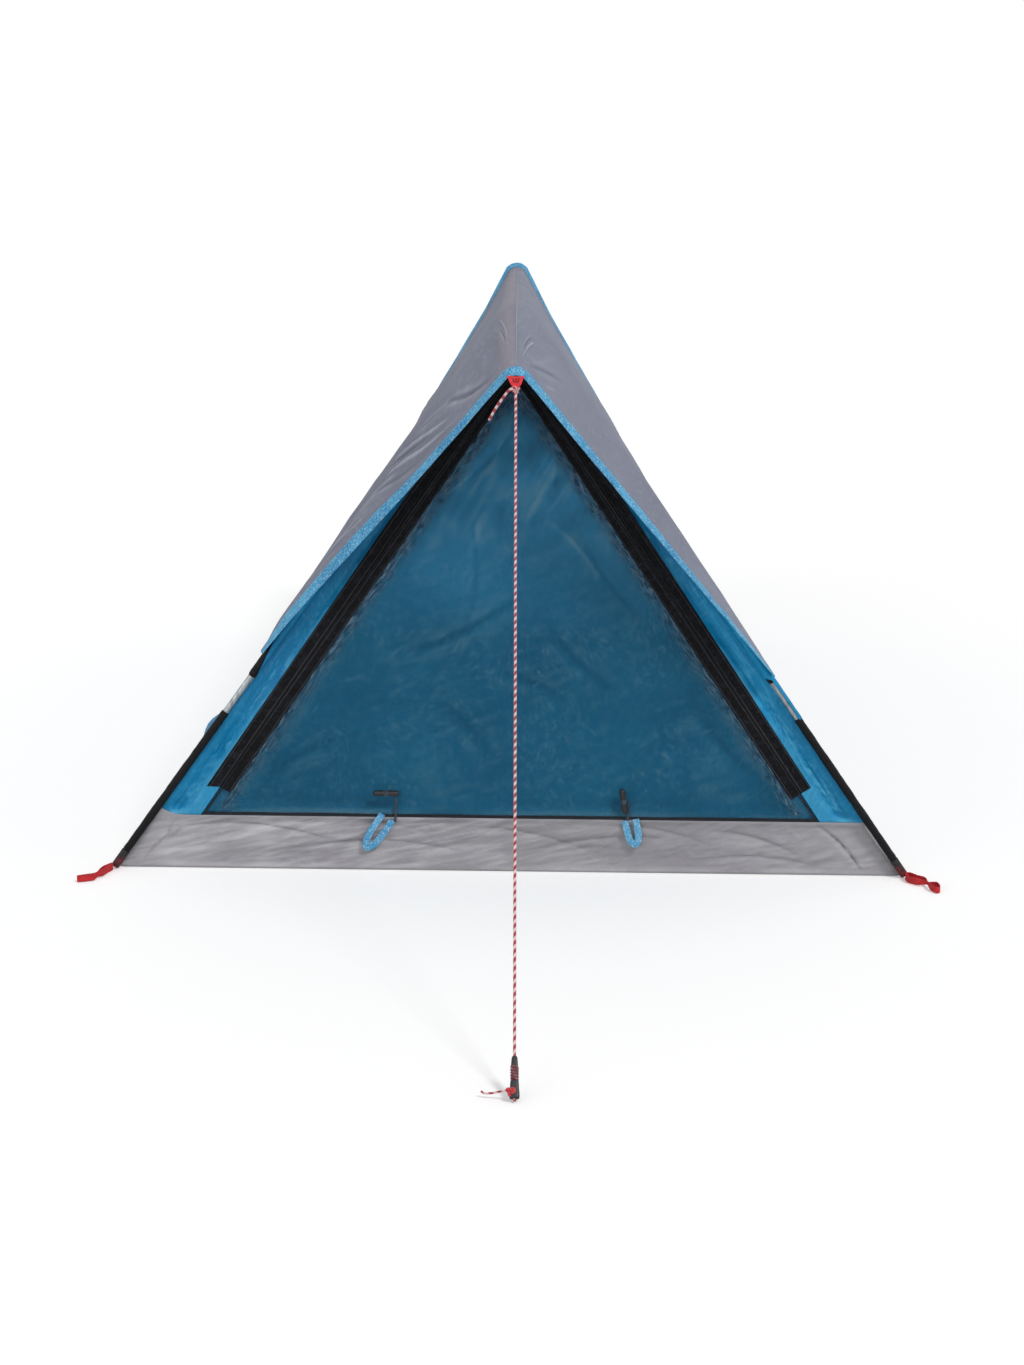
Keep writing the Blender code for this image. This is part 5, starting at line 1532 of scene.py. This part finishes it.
# %% [markdown]
# ## Door ties
# Two toggles hold the rolled door when it is open. Each is a small bar with rounded ends on an
# elastic cord, and below it a loop of light blue ribbon hangs over the tub's edge.

# %% Toggles and elastics
TOGGLE_Y = -FACE_Y - GAP - 0.0055
TOGGLE_HALF, CUFF_HALF = 0.023, 0.0035
TOGGLES = (("left", -0.218, 0.143, 0.0, -0.202), ("right", 0.198, 0.1335, radians(98), 0.206))
CUFF_OUTLINE = TENTH * np.array(((0, 44), (0, 50), (8, 54), (62, 54), (70, 50), (70, 44), (0, 44)))

plastic_black = f = Finish("black_plastic")
where = f.places()[0]
grain = f.noise(where, 500, 3)
f.feed(Base_Color=f.mixed(f.spread(grain, 0.4, 0.7), paint(13, 13, 16), paint(32, 33, 38)),
       Roughness=f.clouds(where, 60, 4, 0.3, 0.7, 0.36, 0.58), Normal=f.bump(grain, 0.00008, 0.5))
elastic_grey = webbing_finish("grey_elastic", ((70, 84, 100), (44, 54, 68), (120, 134, 148)), 0.0009)

d = np.linspace(0, 2 * TOGGLE_HALF, 70)
off_middle = np.abs(d - TOGGLE_HALF)
rounding = np.sqrt(np.clip(1 - (np.clip(off_middle - 0.0185, 0, None) / 0.0046) ** 2, 0, 1))
waist = 1 - 0.16 * bell(off_middle, 0.004, 4) - 0.05 * bell(off_middle - 0.014, 0.0007)
bar_outline = join(d, 0.0053 * rounding * waist)
for side, x, z, angle, strap_x in TOGGLES:
    bar = np.array((np.cos(angle), 0, np.sin(angle)))
    middle = np.array((x, TOGGLE_Y, z))
    points = turned(middle - bar * TOGGLE_HALF, middle + bar * TOGGLE_HALF, bar_outline)
    make_piece("toggle_bar_" + side, points, plastic_black, "plastic", "toggle_" + side)
    strap_z = np.linspace(TUB_TOP - 0.0095, z, 60)
    strap = join(strap_x + 0.0012 * np.sin((strap_z - TUB_TOP) * 70), -FACE_Y - 0.0012, strap_z)
    strap = capped(carry(strap, soft_box(0.0042, 0.0014, 20), up=(0, 1, 0)))
    make_piece("toggle_elastic_" + side, strap, elastic_grey, "plastic")
    cuff = turned(middle - bar * CUFF_HALF, middle + bar * CUFF_HALF, CUFF_OUTLINE, 28)
    make_piece("toggle_cuff_" + side, cuff, elastic_grey, "plastic")

# %% Ribbon loops
RIBBONS = (("left", (-0.216, 0.0985), (-0.253, 0.042), 0.0105),
           ("right", (0.211, 0.0985), (0.221, 0.053), 0.0095))

ribbon_blue = tape_finish("light_blue_ribbon", ((96, 168, 206), (66, 138, 186), (166, 208, 228),
                                                (140, 194, 220)), rib=0.0009, stitch_from=0.0012)
t = np.linspace(0, np.pi, 100)
for side, top, bottom, splay in RIBBONS:
    top, bottom = (np.array((x, -FACE_Y - 0.0022, z)) for x, z in (top, bottom))
    down = unit(bottom - top)
    out = (np.linalg.norm(bottom - top) - 0.0012) * np.sin(t) ** 0.45
    aside = splay * np.cos(t) * (1 - 0.25 * np.sin(t) ** 6)
    middle = top + down * out[:, None] + np.cross(down, (0, 1, 0)) * aside[:, None]
    middle[:, 1] -= 0.0006 * np.sin(3 * t) ** 2
    ribbon = capped(carry(middle, soft_box(0.0118, 0.0009, 24, 8), up=(0, 1, 0)))
    make_piece("ribbon_band_" + side, ribbon, ribbon_blue, "blue", "ribbon_loop_" + side)

# %% [markdown]
# ## Runner
# Near the ground the rope passes a black runner. A body with a waist grips it, a neck guides it
# in, and a few turns of the rope are wound between them, a helix: centre + r cos t, r sin t, and
# p t along the rope. The rope's end is knotted against the body.

# %% Runner, wraps, knot and tail
RUNNER_BOTTOM = guy_length - 0.006
RUNNER_TAIL = 0.0005 * np.array((
    (0, 0, 0), (-12, 2, 2), (-28, 8, -4), (-48, 16, -12), (-66, 20, -15), (-78, 24, -11)))


def on_guy(height, aside=0.0, front=0.0):
    """Point at a height up the guy line from the runner's bottom, moved aside and to the front."""
    return GUY_TOP + guy_line * (RUNNER_BOTTOM - height) + guy_side * aside + guy_front * front


def runner_part(low, high, *sizes):
    """Rounded bar along the rope between two heights; widths and depths are spread over it."""
    s = np.linspace(0, 1, 48)
    rounding = end_round(2 * s - 1, 10, 4)
    width, depth = (rounding * np.interp(s, np.linspace(0, 1, len(size)), size) for size in sizes)
    return soft_bar(on_guy(low + (high - low) * s[:, None]), width, depth, 40, guy_front, 4)


runner_body = runner_part(-0.003, 0.024, (0.014, 0.0136, 0.0124, 0.0118, 0.011),
                          (0.0096, 0.0096, 0.0092, 0.0092, 0.0088))
make_piece("runner_body", runner_body, plastic_black, "plastic", "line_runner", body="runner")
runner_neck = runner_part(0.041, 0.056, (0.01, 0.0092, 0.0084, 0.007), (0.009, 0.0084, 0.008, 0.0066))
make_piece("runner_neck", runner_neck, plastic_black, "plastic", body="runner")

t = np.linspace(0, 1, 260)[:, None]
wind = 2 * np.pi * 4.5 * t
wrap_path = on_guy(0.0235 + 0.018 * t, 0.004 * np.cos(wind), 0.0036 * np.sin(wind))
# The wraps are turns of the same rope in darker colours: painted shade between the body and the neck.
shaded_wrap_red = rope_finish("shaded_rope_wrap", paint(104, 20, 32), paint(150, 90, 100))
wrap = rope_tube(wrap_path, 0.0019, 12, guy_line)
wraps = make_piece("runner_wraps", wrap, shaded_wrap_red, "rope", body="runner")
knot_red = rope_finish("bright_red_cord", paint(226, 36, 46), paint(196, 60, 66))
knot = knot_points(on_guy(0.006, -0.005, 0.0045), 0.0018, (0, -1, 0.3))
runner_knot = make_piece("runner_knot", knot, knot_red, "rope", body="runner")
tail = rope_tube(smooth_route(on_guy(0.006, -0.0055, 0.004) + RUNNER_TAIL, 90), 0.0015, 12)
runner_tail = make_piece("runner_tail", tail, rope_red, "rope", body="runner")
